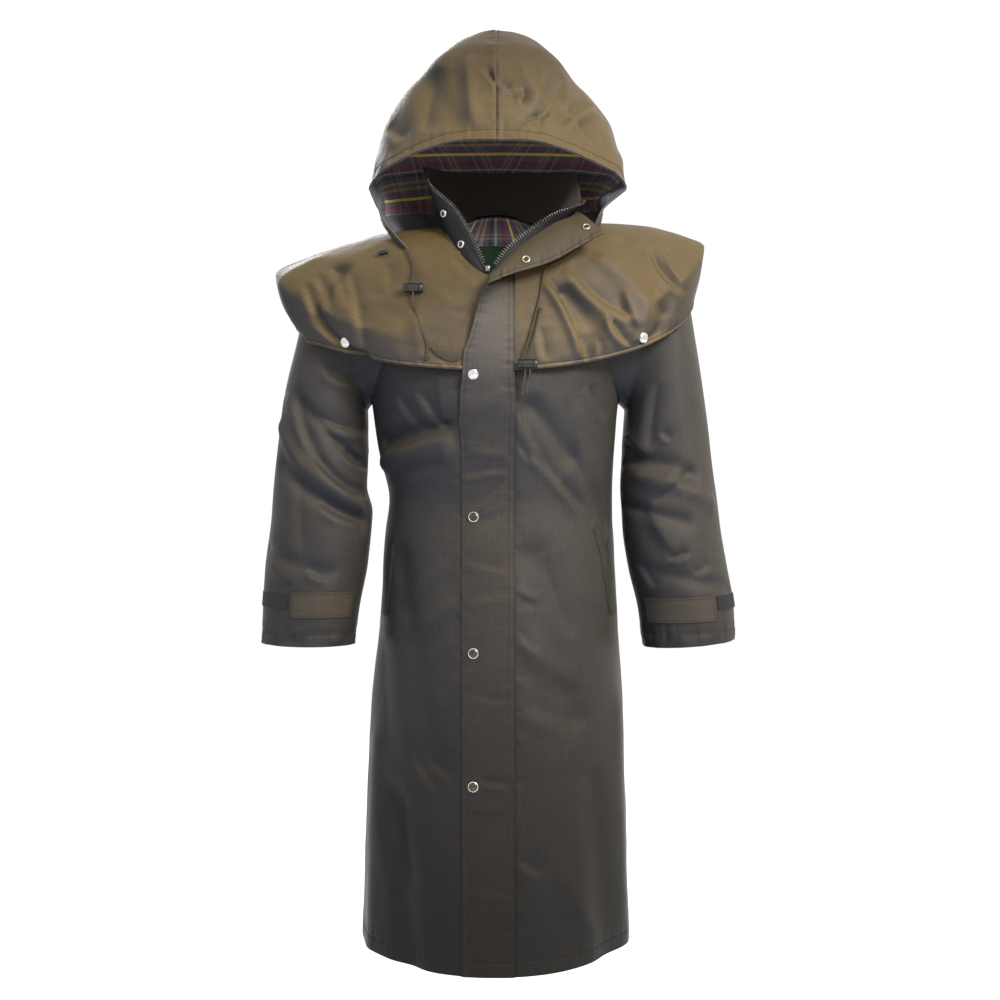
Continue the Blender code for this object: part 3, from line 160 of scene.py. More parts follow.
CAPE_FOLDS = (
    Fold(-62, 0.460, -40, 0.000, 0.016, -0.011),
    Fold(-76, 0.400, -62, 0.000, 0.018, 0.005),
    Fold(-20, 0.600, -26, 0.000, 0.024, 0.004),
    Fold(28, 0.600, 25, 0.000, 0.014, -0.008),
    Fold(62, 0.600, 50, 0.080, 0.018, -0.006),
    Fold(48, 0.620, 42, 0.120, 0.016, 0.006),
    Fold(122, 0.400, 124, 0.000, 0.026, -0.004),
    Fold(150, 0.600, 152, 0.000, 0.026, 0.008),
    Fold(180, 0.640, 178, 0.000, 0.026, -0.009),
    Fold(210, 0.600, 208, 0.000, 0.026, 0.008),
    Fold(238, 0.400, 236, 0.000, 0.026, -0.004),
)

Cuff = namedtuple("Cuff", "name outer_x outer_z inner_x inner_z middle_y half_depth")
SLEEVE_LEFT = (
    Cuff("cap", 0.256, -0.045, 0.206, -0.296, 0.000, 0.080),
    Cuff("upper", 0.298, -0.090, 0.204, -0.318, 0.000, 0.079),
    Cuff("bicep", 0.3165, -0.180, 0.201, -0.345, -0.002, 0.082),
    Cuff("above_elbow", 0.332, -0.285, 0.199, -0.378, -0.006, 0.079),
    Cuff("elbow", 0.341, -0.370, 0.197, -0.420, -0.012, 0.079),
    Cuff("forearm", 0.352, -0.450, 0.200, -0.468, -0.020, 0.078),
    Cuff("low", 0.363, -0.530, 0.209, -0.540, -0.028, 0.076),
    Cuff("wrist", 0.374, -0.600, 0.224, -0.606, -0.035, 0.073),
    Cuff("mouth", 0.376, -0.652, 0.231, -0.664, -0.040, 0.070),
)
SLEEVE_RIGHT = (
    Cuff("cap", 0.256, -0.058, 0.206, -0.296, 0.000, 0.080),
    Cuff("upper", 0.296, -0.102, 0.205, -0.318, 0.000, 0.079),
    Cuff("bicep", 0.3185, -0.190, 0.204, -0.345, -0.002, 0.082),
    Cuff("above_elbow", 0.338, -0.285, 0.204, -0.378, -0.006, 0.080),
    Cuff("elbow", 0.348, -0.370, 0.205, -0.415, -0.012, 0.080),
    Cuff("forearm", 0.354, -0.450, 0.196, -0.458, -0.020, 0.081),
    Cuff("low", 0.364, -0.535, 0.202, -0.535, -0.028, 0.079),
    Cuff("wrist", 0.367, -0.600, 0.215, -0.602, -0.035, 0.075),
    Cuff("mouth", 0.368, -0.657, 0.223, -0.660, -0.040, 0.071),
)
SLEEVE_CHART = (0.080, 0.620)
SLEEVE_FOLDS_LEFT = (
    Fold(150, 0.380, 60, 0.520, 0.014, -0.007),
    Fold(160, 0.560, 80, 0.640, 0.014, -0.006),
    Fold(130, 0.470, 40, 0.600, 0.014, 0.005),
    Fold(250, 0.480, 330, 0.560, 0.016, -0.006),
    Fold(120, 0.780, 30, 0.840, 0.014, -0.004),
)
SLEEVE_FOLDS_RIGHT = (
    Fold(30, 0.420, 140, 0.580, 0.014, 0.007),
    Fold(40, 0.500, 150, 0.640, 0.013, -0.007),
    Fold(60, 0.340, 150, 0.380, 0.014, -0.006),
    Fold(250, 0.500, 330, 0.580, 0.016, -0.006),
    Fold(20, 0.720, 110, 0.780, 0.014, -0.004),
)

# The hood's left half from the top seam down to the neck: face edge, side, rear and back seam.
HoodRow = namedtuple("HoodRow", "name down face side rear back")
HOOD_STATIONS = (0.0, 0.42, 0.78, 1.0)
HOOD = (
    HoodRow(
        "top", 0.00,
        (0.000, -0.150, 0.105), (0.000, -0.060, 0.280),
        (0.000, 0.005, 0.316), (0.000, 0.045, 0.315),
    ),
    HoodRow(
        "crown", 0.15,
        (0.050, -0.148, 0.104), (0.077, -0.042, 0.270),
        (0.050, 0.046, 0.304), (0.000, 0.080, 0.301),
    ),
    HoodRow(
        "upper", 0.30,
        (0.100, -0.136, 0.094), (0.126, -0.018, 0.226),
        (0.078, 0.085, 0.258), (0.000, 0.115, 0.262),
    ),
    HoodRow(
        "temple", 0.50,
        (0.163, -0.098, 0.074), (0.177, -0.004, 0.155),
        (0.112, 0.108, 0.190), (0.000, 0.140, 0.200),
    ),
    HoodRow(
        "cheek", 0.70,
        (0.199, -0.045, 0.052), (0.188, 0.018, 0.095),
        (0.118, 0.112, 0.122), (0.000, 0.146, 0.132),
    ),
    HoodRow(
        "jaw", 0.86,
        (0.177, -0.060, 0.010), (0.150, 0.030, 0.045),
        (0.102, 0.098, 0.062), (0.000, 0.132, 0.076),
    ),
    HoodRow(
        "neck", 1.00,
        (0.130, -0.100, -0.045), (0.110, 0.005, 0.000),
        (0.080, 0.075, 0.012), (0.000, 0.105, 0.026),
    ),
)
# How much wider the hood's left half is, as a share of its width, at places down it.
HOOD_LEFT_WIDER = ((0.0, 0.0), (0.30, 0.0), (0.50, 0.035), (0.70, 0.030), (0.86, -0.085), (1.0, 0.0))
HOOD_CHART = (0.300, 0.420)
HOOD_FOLDS = (
    Fold(0.10, 0.18, 0.45, 0.30, 0.018, -0.004),
    Fold(0.06, 0.55, 0.40, 0.66, 0.020, 0.004),
    Fold(0.55, 0.60, 0.85, 0.85, 0.022, -0.005),
    Fold(0.15, 0.84, 0.55, 0.92, 0.018, -0.005),
)

CollarEdge = namedtuple("CollarEdge", "name angle x y z")
COLLAR = (
    CollarEdge("left_zip_end", 4, -0.0080, -0.1370, -0.0870),
    CollarEdge("left_low", 14, 0.0220, -0.1330, -0.0500),
    CollarEdge("left_middle", 25, 0.0520, -0.1280, -0.0260),
    CollarEdge("left_high", 40, 0.0900, -0.1170, -0.0010),
    CollarEdge("left_corner", 60, 0.1340, -0.0980, 0.0210),
    CollarEdge("left_side", 90, 0.1310, -0.0100, 0.0850),
    CollarEdge("left_back", 135, 0.0920, 0.0750, 0.1030),
    CollarEdge("back", 180, 0.0000, 0.1080, 0.1080),
    CollarEdge("right_back", 225, -0.0850, 0.0750, 0.1060),
    CollarEdge("right_side", 270, -0.1180, -0.0050, 0.0980),
    CollarEdge("right_corner", 304, -0.1020, -0.0800, 0.0510),
    CollarEdge("right_high", 325, -0.0630, -0.1050, 0.0110),
    CollarEdge("right_low", 340, -0.0390, -0.1220, -0.0300),
    CollarEdge("right_zip_end", 352, -0.0140, -0.1370, -0.0870),
)

FlapRow = namedtuple("FlapRow", "name free_x free_z stand_off sewn_x sewn_z")
FLAP_TOP = (
    FlapRow("cape_edge", -0.0490, -0.2440, 0.0010, 0.0280, -0.2440),
    FlapRow("low", -0.0470, -0.2150, 0.0030, 0.0280, -0.2130),
    FlapRow("middle", -0.0385, -0.1900, 0.0070, 0.0280, -0.1820),
    FlapRow("turn", -0.0300, -0.1600, 0.0130, 0.0280, -0.1500),
    FlapRow("break", -0.0225, -0.1350, 0.0230, 0.0275, -0.1200),
    FlapRow("corner", -0.0130, -0.1180, 0.0320, 0.0265, -0.0960),
)
LapelRow = namedtuple("LapelRow", "name angle x y z")
LAPEL = (
    LapelRow("break", 5, -0.0117, -0.1860, -0.1142),
    LapelRow("low", 18, 0.0222, -0.1760, -0.0990),
    LapelRow("middle", 36, 0.0787, -0.1650, -0.0795),
    LapelRow("high", 50, 0.1227, -0.1520, -0.0556),
    LapelRow("tip", 61, 0.1610, -0.1380, -0.0330),
)

Spot = namedtuple("Spot", "x z")
WELTS = {
    "right": (Spot(-0.1555, -0.502), Spot(-0.1620, -0.560), Spot(-0.1680, -0.614)),
    "left": (Spot(0.1490, -0.478), Spot(0.1610, -0.522), Spot(0.1690, -0.570), Spot(0.1750, -0.612)),
}
Tab = namedtuple("Tab", "from_angle to_angle from_along to_along")
CUFF_TABS = {"right": Tab(72, 148, 0.841, 0.915), "left": Tab(60, 150, 0.858, 0.930)}
LOOP_STRIPS = {"right": Tab(-14, 68, 0.848, 0.890), "left": Tab(-12, 56, 0.860, 0.900)}

# Points of each cord: x, z and height off the cape
CORDS = {
    "right_long": (
        (-0.1240, -0.085, 0.0060), (-0.1236, -0.100, 0.0095), (-0.1236, -0.115, 0.0110),
        (-0.1236, -0.130, 0.0095), (-0.1190, -0.150, 0.0040), (-0.1100, -0.180, 0.0030),
        (-0.1015, -0.204, 0.0030), (-0.1025, -0.223, 0.0030),
    ),
    "right_short": (
        (-0.0965, -0.206, 0.0024), (-0.0850, -0.216, 0.0024), (-0.0710, -0.224, 0.0024),
        (-0.0610, -0.226, 0.0024), (-0.0550, -0.225, 0.0024),
    ),
    "left_long": (
        (0.1000, -0.072, 0.0100), (0.0740, -0.088, 0.0060), (0.0655, -0.130, 0.0030),
        (0.0610, -0.148, 0.0040), (0.0500, -0.190, 0.0060), (0.0435, -0.216, 0.0098),
        (0.0435, -0.231, 0.0098), (0.0435, -0.246, 0.0098), (0.0400, -0.262, 0.0095),
        (0.0386, -0.278, 0.0095),
    ),
    "left_short": (
        (0.0660, -0.149, 0.0040), (0.0565, -0.190, 0.0060), (0.0505, -0.216, 0.0098),
        (0.0505, -0.231, 0.0098), (0.0505, -0.246, 0.0098), (0.0465, -0.260, 0.0095),
        (0.0450, -0.274, 0.0095),
    ),
}

# Fine grids: rows and columns of each cloth piece
HEM_ROWS = (0.0, 0.001, 0.003, 0.007, 0.012, 0.0165, 0.0185, 0.020, 0.0215, 0.0235, 0.028, 0.036)
SKIRT_ROWS = 164
ARMHOLE_ROWS = 74
YOKE_ROWS = 14
FRONT_NEAR_COLUMNS = 14
FRONT_FAR_COLUMNS = 80
BACK_COLUMNS = 94
FLAP_FINE_COLUMNS = 44
FLAP_FINE_ROWS = 170
FLAP_TOP_ROWS = 60
SLEEVE_COLUMNS = 120
SLEEVE_ROWS = 170
CAPE_FRONT_COLUMNS = 124
CAPE_BACK_COLUMNS = 130
CAPE_ROWS = 90
CAPE_EDGE_ROWS = (0.0, 0.004, 0.010, 0.018, 0.028, 0.038)
HOOD_DOWN = 100
HOOD_FACING_ROWS = 24
HOOD_LINING_ROWS = 76
COLLAR_COLUMNS = 200
COLLAR_ROWS = 14
LAPEL_FINE_COLUMNS = 90
LAPEL_FINE_ROWS = 36
TAPE_COLUMNS = 100
TAPE_ROWS = 4
LINING_COLUMNS = 60
LINING_ROWS = 30
TAB_COLUMNS = 44
TAB_ROWS = 18
WELT_COLUMNS = 12
WELT_FINE_ROWS = 50
CORD_SIDES = 10
CORD_FINE_STEP = 0.0025

# Camera and light
PHOTO_METRES_PER_PIXEL = 0.0016
PHOTO_SIDE = 1000
CAMERA_DISTANCE = 2.30
CAMERA_HEIGHT = -0.38
AIM = (0.0064, 0.0, -0.436)
SENSOR = 36.0
FLOOR_HEIGHT = -1.50
FLOOR_SIDE = 80.0

# Sewing
STITCH_LENGTH = 0.0032
STITCH_PITCH = 0.0044
THREAD = 0.0009
HEM_STITCH = 0.020
CAPE_BINDING = 0.0060
BRIM_STITCH = 0.018
HOOD_SEAM_STITCH = 0.004
FLAP_EDGE_STITCH = 0.006
FLAP_SEAM_STITCHES = (0.0015, 0.0085)
CUFF_STITCH = 0.024
TAB_STITCH = 0.003
TOOTH_PITCH = 0.0043
TOOTH_SIZE = (0.0020, 0.0058, 0.0032)
TOOTH_BEVEL = 0.0004
TOOTH_HEAD = 0.0010

# Creases: from a place to another as seen from the front, sideways bow of the middle, width,
# depth (minus for a trough), and the ridge along its right-hand side as a share of the depth.
CREASE_SHARPNESS = 1.25
CREASE_LIP_PLACE = 1.5
CREASE_STEEP = 0.60
CREASE_GENTLE = 1.60
Crease = namedtuple("Crease", "x z to_x to_z bow width depth lip")


def crease_rows(*rows):
    """Creases from rows of their numbers."""
    return [Crease(*row) for row in rows]


FRONT_CREASES = crease_rows(
    (-0.147, -0.272, -0.102, -0.328, 0.003, 0.006, -0.003, 0.5),
    (-0.114, -0.268, -0.066, -0.328, 0.002, 0.006, -0.0038, 0.6),
    (-0.168, -0.36, -0.064, -0.331, -0.006, 0.009, -0.006, 0.9),
    (-0.159, -0.392, -0.076, -0.374, 0.004, 0.012, -0.003, 0.3),
    (-0.084, -0.242, -0.075, -0.318, 0, 0.01, 0.003, 0.3),
    (-0.136, -0.64, -0.062, -0.58, 0.006, 0.016, 0.0032, 0.6),
    (-0.144, -0.595, -0.069, -0.525, 0.004, 0.014, 0.0026, 0.6),
    (-0.147, -0.82, -0.076, -0.715, 0.008, 0.018, 0.0032, 0.5),
    (-0.132, -0.798, -0.084, -0.865, 0.002, 0.008, -0.0022, 0.4),
    (-0.152, -0.88, -0.114, -1.03, 0.01, 0.018, -0.0042, 0.5),
    (-0.099, -0.82, -0.062, -0.842, 0.002, 0.006, -0.0022, 0.5),
    (-0.177, -0.64, -0.166, -0.82, 0, 0.016, -0.003, 0.4),
    (0.031, -0.28, 0.081, -0.385, 0.004, 0.009, -0.0038, 0.5),
    (0.051, -0.362, 0.134, -0.452, -0.005, 0.007, -0.004, 0.6),
    (0.096, -0.407, 0.15, -0.472, -0.004, 0.008, -0.0034, 0.5),
    (0.118, -0.28, 0.141, -0.43, 0.004, 0.01, 0.0032, 0.4),
    (0.141, -0.258, 0.165, -0.31, 0.002, 0.007, -0.0042, 0.5),
    (0.029, -0.34, 0.051, -0.373, 0.001, 0.005, -0.0024, 0.5),
    (0.029, -0.565, 0.066, -0.585, 0.002, 0.005, 0.0022, 0.6),
    (0.029, -0.618, 0.06, -0.655, 0.002, 0.006, -0.0022, 0.6),
    (0.036, -0.64, 0.134, -0.715, 0.006, 0.018, 0.0034, 0.6),
    (0.073, -0.52, 0.118, -0.64, 0.005, 0.016, -0.0034, 0.5),
    (0.043, -0.73, 0.141, -0.768, 0.004, 0.014, -0.0026, 0.5),
    (0.029, -0.955, 0.073, -0.985, 0.001, 0.008, -0.0022, 0.5),
    (0.096, -0.97, 0.171, -1.12, 0.006, 0.02, 0.0036, 0.5),
    (0.156, -0.52, 0.174, -0.64, 0, 0.012, 0.003, 0.4),
)
BACK_CREASES = crease_rows(
    (-0.15, -0.36, -0.04, -0.395, 0.006, 0.012, -0.005, 0.7),
    (0.15, -0.35, 0.05, -0.4, -0.006, 0.012, -0.005, -0.7),
    (-0.09, -0.43, 0.07, -0.44, 0.008, 0.012, -0.004, 0.6),
    (-0.13, -0.52, -0.06, -0.68, 0.01, 0.016, -0.0036, 0.5),
    (0.12, -0.54, 0.07, -0.72, -0.01, 0.017, -0.0036, 0.5),
    (-0.01, -0.6, 0.02, -0.86, 0.01, 0.018, 0.0034, 0.4),
    (-0.15, -0.76, -0.11, -0.96, 0.006, 0.018, 0.0036, 0.5),
    (0.14, -0.78, 0.15, -1.02, 0.008, 0.02, -0.004, 0.4),
    (0.06, -0.88, 0.05, -1.11, 0.004, 0.018, 0.0034, 0.5),
    (-0.08, -0.9, -0.06, -1.115, -0.004, 0.018, -0.0036, 0.4),
)
FLAP_CREASES = crease_rows(
    (-0.0495, -0.3625, 0.021, -0.367, 0.001, 0.006, 0.0026, 0),
    (-0.0495, -0.397, 0.021, -0.388, -0.003, 0.0042, -0.0026, 0.6),
    (-0.039, -0.448, 0.0135, -0.4, 0.003, 0.006, -0.0022, 0.5),
    (-0.035, -0.46, 0.02, -0.438, 0.002, 0.006, 0.0016, 0.4),
    (-0.039, -0.31, 0.0135, -0.265, 0.003, 0.012, 0.002, 0.4),
    (-0.0465, -0.52, 0.018, -0.535, 0.002, 0.005, -0.0014, 0.5),
    (-0.0465, -0.58, 0.018, -0.565, 0.002, 0.006, -0.0012, 0.5),
    (-0.0465, -0.715, 0.018, -0.73, 0.002, 0.005, -0.0012, 0.5),
    (-0.0495, -0.847, 0.021, -0.853, -0.002, 0.0042, -0.0024, 0.7),
    (-0.0495, -0.8875, 0.021, -0.889, 0.001, 0.0045, 0.0014, 0.5),
    (-0.0465, -1, 0.021, -1.008, 0.001, 0.006, -0.0012, 0.5),
)
CAPE_CREASES = crease_rows(
    (-0.226, -0.082, -0.201, -0.183, -0.003, 0.009, -0.005, 0.3),
    (-0.201, -0.175, -0.198, -0.225, 0, 0.009, -0.004, 0.3),
    (-0.252, -0.073, -0.222, -0.145, -0.003, 0.008, -0.0036, 0.5),
    (-0.279, -0.085, -0.249, -0.153, -0.003, 0.007, -0.0034, 0.5),
    (-0.296, -0.1, -0.277, -0.15, -0.002, 0.006, -0.003, 0.5),
    (-0.165, -0.073, -0.159, -0.12, 0, 0.008, -0.0022, 0.3),
    (-0.072, -0.047, -0.039, -0.093, 0, 0.008, -0.002, 0.4),
    (-0.12, -0.15, -0.112, -0.225, 0.002, 0.012, 0.0022, 0.4),
    (0.078, -0.097, 0.137, -0.226, -0.008, 0.007, -0.007, 0.7),
    (0.111, -0.073, 0.216, -0.157, 0.014, 0.01, -0.0055, 0.5),
    (0.238, -0.04, 0.291, -0.118, 0.01, 0.006, -0.005, 0.5),
    (0.267, -0.046, 0.289, -0.093, 0.003, 0.004, -0.0032, 0.5),
    (0.238, -0.107, 0.258, -0.157, 0.002, 0.005, -0.004, -0.6),
    (0.171, -0.15, 0.204, -0.202, 0.006, 0.006, -0.0052, 0.7),
    (0.193, -0.115, 0.216, -0.175, 0.002, 0.007, 0.0034, 0.4),
    (0.066, -0.175, 0.073, -0.226, 0, 0.006, -0.0024, 0.5),
    (0.155, -0.19, 0.16, -0.225, 0, 0.005, -0.0024, 0.5),
)
CAPE_BACK_CREASES = crease_rows(
    (-0.19, -0.06, -0.15, -0.2, 0.006, 0.01, -0.005, 0.5),
    (-0.11, -0.02, -0.085, -0.24, 0.004, 0.012, 0.004, 0.4),
    (-0.03, -0.06, 0.01, -0.25, -0.006, 0.012, -0.0046, 0.5),
    (0.08, -0.03, 0.07, -0.235, 0.006, 0.011, -0.0042, 0.4),
    (0.17, -0.06, 0.14, -0.22, -0.006, 0.01, 0.0046, 0.5),
    (0.25, -0.06, 0.23, -0.17, -0.004, 0.008, -0.004, 0.5),
    (-0.27, -0.08, -0.245, -0.17, 0.004, 0.008, -0.004, 0.5),
)
SLEEVE_RIGHT_CREASES = crease_rows(
    (-0.203, -0.439, -0.29, -0.362, -0.01, 0.008, 0.0075, 0.8),
    (-0.287, -0.366, -0.321, -0.265, -0.004, 0.008, 0.006, 0.7),
    (-0.271, -0.431, -0.203, -0.467, 0.006, 0.008, -0.0045, 0.5),
    (-0.278, -0.303, -0.2, -0.324, 0.006, 0.009, -0.0055, 0.6),
    (-0.267, -0.225, -0.2, -0.249, 0.008, 0.009, -0.0052, 0.6),
    (-0.236, -0.358, -0.197, -0.389, 0.003, 0.006, -0.0042, 0.5),
    (-0.301, -0.389, -0.293, -0.53, 0.004, 0.012, -0.0032, 0.5),
    (-0.353, -0.53, -0.306, -0.561, 0.004, 0.01, 0.0032, 0.4),
    (-0.288, -0.537, -0.258, -0.553, 0.002, 0.006, -0.0034, 0.6),
)
SLEEVE_LEFT_CREASES = crease_rows(
    (0.204, -0.331, 0.24, -0.366, 0.003, 0.008, 0.005, 0.6),
    (0.303, -0.381, 0.24, -0.436, -0.006, 0.01, -0.0055, 0.5),
    (0.25, -0.255, 0.238, -0.36, 0.004, 0.008, -0.0052, 0.5),
    (0.256, -0.327, 0.27, -0.342, 0.001, 0.005, -0.0042, 0.6),
    (0.303, -0.28, 0.31, -0.389, 0.004, 0.008, -0.0032, 0.4),
    (0.264, -0.524, 0.295, -0.511, 0.002, 0.006, -0.0042, 0.6),
    (0.225, -0.53, 0.248, -0.569, 0.002, 0.006, -0.0032, 0.5),
    (0.3, -0.545, 0.33, -0.53, 0.003, 0.008, -0.0032, 0.5),
    (0.235, -0.44, 0.28, -0.52, 0.006, 0.012, 0.004, 0.4),
)
HOOD_CREASES = crease_rows(
    (-0.018, 0.225, 0.002, 0.197, 0, 0.0042, -0.0066, 0.4),
    (0.002, 0.197, 0.024, 0.191, 0.001, 0.0042, -0.0066, 0.4),
    (0.0395, 0.19, 0.0426, 0.163, 0, 0.0042, -0.006, 0.5),
    (0.0365, 0.135, 0.073, 0.152, 0.002, 0.0044, -0.0068, 0.6),
    (0.064, 0.132, 0.0806, 0.161, 0.001, 0.0042, -0.0058, 0.5),
    (0.0948, 0.133, 0.15, 0.184, -0.004, 0.009, -0.008, 0.6),
    (0.0524, 0.244, 0.087, 0.172, 0.002, 0.011, -0.007, 0.4),
    (0.0948, 0.237, 0.116, 0.149, -0.002, 0.011, 0.0062, 0.4),
    (-0.044, 0.252, -0.034, 0.122, 0.002, 0.014, 0.007, 0.4),
    (-0.09, 0.236, -0.108, 0.124, 0.004, 0.017, -0.008, 0.4),
    (-0.169, 0.15, -0.138, 0.119, 0.002, 0.01, -0.0046, 0.5),
    (0.12, 0.146, 0.158, 0.115, 0.002, 0.007, -0.005, 0.5),
)

# Faces of a small bar
BAR_FACES = np.array([(0, 1, 5, 4), (1, 2, 6, 5), (2, 3, 7, 6), (3, 0, 4, 7), (3, 2, 1, 0), (4, 5, 6, 7)])

# Two-coloured cloth with painted light and shade: the axis that lit, warmer slopes face, the spreads, and
# fades that paint shade and light by height
PAINTED_LIGHT_AXIS = (0.30, 0.0, 0.954)
BODY_PAINTED_LIGHT_SPREAD = (-0.49, 0.61)
CAPE_PAINTED_LIGHT_SPREAD = (-0.26, 0.62)
# Painted shade towards the coat's hem, painted light up the flap and painted shade at its top, painted light
# on the cape's lower part and painted shade at the hood's top
HEM_PAINTED_SHADE = (-1.16, -0.34, 0.28, 1.0)
FLAP_PAINTED_LIGHT = (-0.33, -0.20, 1.0, 1.75)
FLAP_TOP_PAINTED_SHADE = (-0.165, -0.100, 1.0, 0.46)
CAPE_PAINTED_LIGHT_AND_SHADE = ((-0.25, -0.11, 1.62, 0.96), (0.15, 0.27, 1.0, 0.58))

# Lining's check
CHECK_REPEAT = 0.060
CHECK_STRIPES = (
    (0.000, 0.013, (186, 160, 132)), (0.0045, 0.0040, (116, 104, 98)), (0.034, 0.0050, (150, 52, 58)),
    (0.045, 0.0020, (204, 198, 188)), (0.050, 0.0035, (52, 54, 70)),
)
STRAW_STRIPE = (0.023, 0.0036, (252, 212, 96))

# Lamps: name, place, side and power
WORLD_STRENGTH = 1.05
LAMPS = (
    ("key_lamp", (1.25, -1.85, 1.0), 0.8, 78.0),
    ("fill_lamp", (-1.8, -2.0, 0.4), 1.6, 4.0),
    ("top_lamp", (0.8, -1.1, 1.4), 0.8, 6.0),
    ("back_lamp", (-0.8, 2.4, 0.9), 1.4, 34.0),
)
LAMP_AIM = (0.0, 0.0, -0.15)

# Cord ends
KNOT_SIZE = 0.0026
CORD_ENDS = {"right_long": "knot", "right_short": "object", "left_long": "bare", "left_short": "bare"}

# Where a stud's second finish ends, in shares of its radius
STUD_CENTRE = 0.84
SOCKET_CENTRE = 0.52

# Fronts under the cape's edge
CHEST_FILL = 0.011
CHEST_FILL_FROM = -0.470
CHEST_FILL_FULL = -0.275
CAPE_EDGE_LOW = -0.246
CAPE_EDGE_HIGH = -0.205
CHEST_FILL_WIDTH = 0.150

# Flap's top
FLAP_HANG = 0.004
FLAP_HANG_FROM = -0.360
FLAP_STUDS = tuple(f"flap_stud_{number}" for number in (1, 2, 3, 4))
LEVEL_SCAN = np.linspace(0, 1, 400)

# Cape's binding, by steps up the cape and out from it
BINDING_UNDER = 0.004
BINDING_SECTION = (
    (0.0058, 0.0002), (0.0055, 0.0008), (0.0042, 0.0012), (0.0022, 0.0014), (0.0004, 0.0012),
    (-0.0006, 0.0004), (-0.0008, -0.0008), (-0.0004, -0.0022), (0.0016, -0.0028), (0.0040, -0.0026),
    (0.0056, -0.0020),
)

# Hood's form
HOOD_PINCH = {-1: 0.13, 1: 0.085}
HOOD_PINCH_HEIGHT = 0.284
HOOD_PINCH_REACH = 0.028
HOOD_CROWN_FROM = 0.270
HOOD_CROWN_SINK = 0.005
HOOD_CROWN_REACH = 0.016
HOOD_SEAM_COLUMNS = (0.0, 0.002, 0.004, 0.007, 0.011, 0.016, 0.022)
FACING_END = 0.90
FACING_END_ROWS = 60
FACING_ALONG = 0.20
HOOD_DROPS = (
    (0.0, 0.0), (0.05, 0.009), (0.10, 0.015), (0.20, 0.017), (0.40, 0.013), (0.70, 0.010), (1.0, 0.010),
)
HOOD_DROP_FROM = 0.76
SEAM_OVERLAP = 0.0002

# Collar's columns in the solids
COLLAR_SOLID_COLUMNS = 24

# Neck lining
NECK_CHART = (0.110, 1.190)
NECK_SOLID_COLUMNS = 12
NECK_HALF_WIDTH = 0.110
SOLID_ARMHOLE_STEPS = 8
SOLID_YOKE_ROWS = 3

# A zip tape's cut width, of which the collar's seam hides more than half
NARROWEST_CUT = 0.012

# Noise, gathers beside sewn edges, slight bumps and the sunk lines of seams
NOISE_CELLS = 64
GATHER_WAVES = (0.011, 0.017, 0.026, 0.041)
GATHER_MEAN = 0.6
GATHER_CHANGE = 0.4
GATHER_PATCH = 0.060
Gather = namedtuple("Gather", "reach height")
HEM_GATHER = Gather(0.016, 0.0006)
FRONT_SEAM_GATHER = Gather(0.012, 0.0009)
FLAP_FREE_GATHER = Gather(0.010, 0.0006)
FLAP_SEWN_GATHER = Gather(0.010, 0.0007)
LAPEL_GATHER = Gather(0.012, 0.0012)
WELT_GATHER = Gather(0.02, 0.0004)
CUFF_GATHER = Gather(0.014, 0.0010)
CAPE_GATHER = Gather(0.022, 0.0007)
CAPE_GATHER_RATE = 1.2
BRIM_GATHER = Gather(0.020, 0.0009)
HOOD_SEAM_GATHER = Gather(0.016, 0.0011)
Bumps = namedtuple("Bumps", "height size")
COAT_BUMPS = Bumps(0.0012, 0.085)
COAT_FINE_BUMPS = Bumps(0.0005, 0.034)
FLAP_BUMPS = Bumps(0.0004, 0.045)
LAPEL_BUMPS = Bumps(0.0012, 0.040)
SLEEVE_BUMPS = Bumps(0.0014, 0.070)
CUFF_FINE_CRUMPLE = Bumps(1.0, 0.016)
CUFF_CRUMPLE = Bumps(0.7, 0.028)
CRUMPLE_HEIGHT = 0.0016
SMALL_BUMPS = Bumps(0.0006, 0.030)
CAPE_BUMPS = Bumps(0.0016, 0.060)
CAPE_FINE_BUMPS = Bumps(0.0006, 0.024)
HOOD_BUMPS = Bumps(0.0018, 0.055)
Groove = namedtuple("Groove", "depth reach")
HEM_GROOVE = Groove(0.0007, 0.0018)
CUFF_GROOVE = Groove(0.0009, 0.0030)
BRIM_GROOVE = Groove(0.0009, 0.0022)
HOOD_SEAM_GROOVE = Groove(0.0016, 0.0022)

# Seeds of the random draws
FRONT_SEED = 3
BACK_SEED = 11
FLAP_SEED = 21
FRONT_SEAM_SEED = 31
LAPEL_SEED = 41
WELT_SEED = 51
SLEEVE_SEED = 61
TAB_SEED = 71
CAPE_RIGHT_SEED = 81
CAPE_LEFT_SEED = 85
CAPE_BACK_SEED = 89
HOOD_SEED = 91
HOOD_SEAM_SEED = 97
COLLAR_SEED = 101

# Where creases and gathers fade: from none to full
FRONT_CREASES_BEGIN = (-0.002, 0.010)
FRONT_SEAM_BEGIN = (0.0, 0.004)
UNDER_FLAP = (0.001, -0.004)
UNDER_FLAP_SINK = 0.0016
FLAP_CREASES_BEGIN = (0.0, 0.010)
FLAP_DEEPEST = -0.0022
LAPEL_STITCH = 0.004
SLEEVE_FRONT = (-0.10, 0.35)
SLEEVE_BACK = (0.00, 0.45)
SLEEVE_BUMPS_BEGIN = (0.02, 0.10)
SLEEVE_TOP_FADE = (0.0, 0.03)
BACK_CREASE_DROP = 0.02
CRUMPLE_FADE = (0.040, 0.015)
CAPE_TOP_FADE = (1.02, 0.85)
HOOD_FRONT_FADE = (0.35, 0.1)
HOOD_SEAM_FADE = (0.0, 0.006)
HOOD_FOOT_FADE = (1.0, 0.93)
STUD_FLAT_FROM = 1.1
STUD_FLAT_TO = 2.6

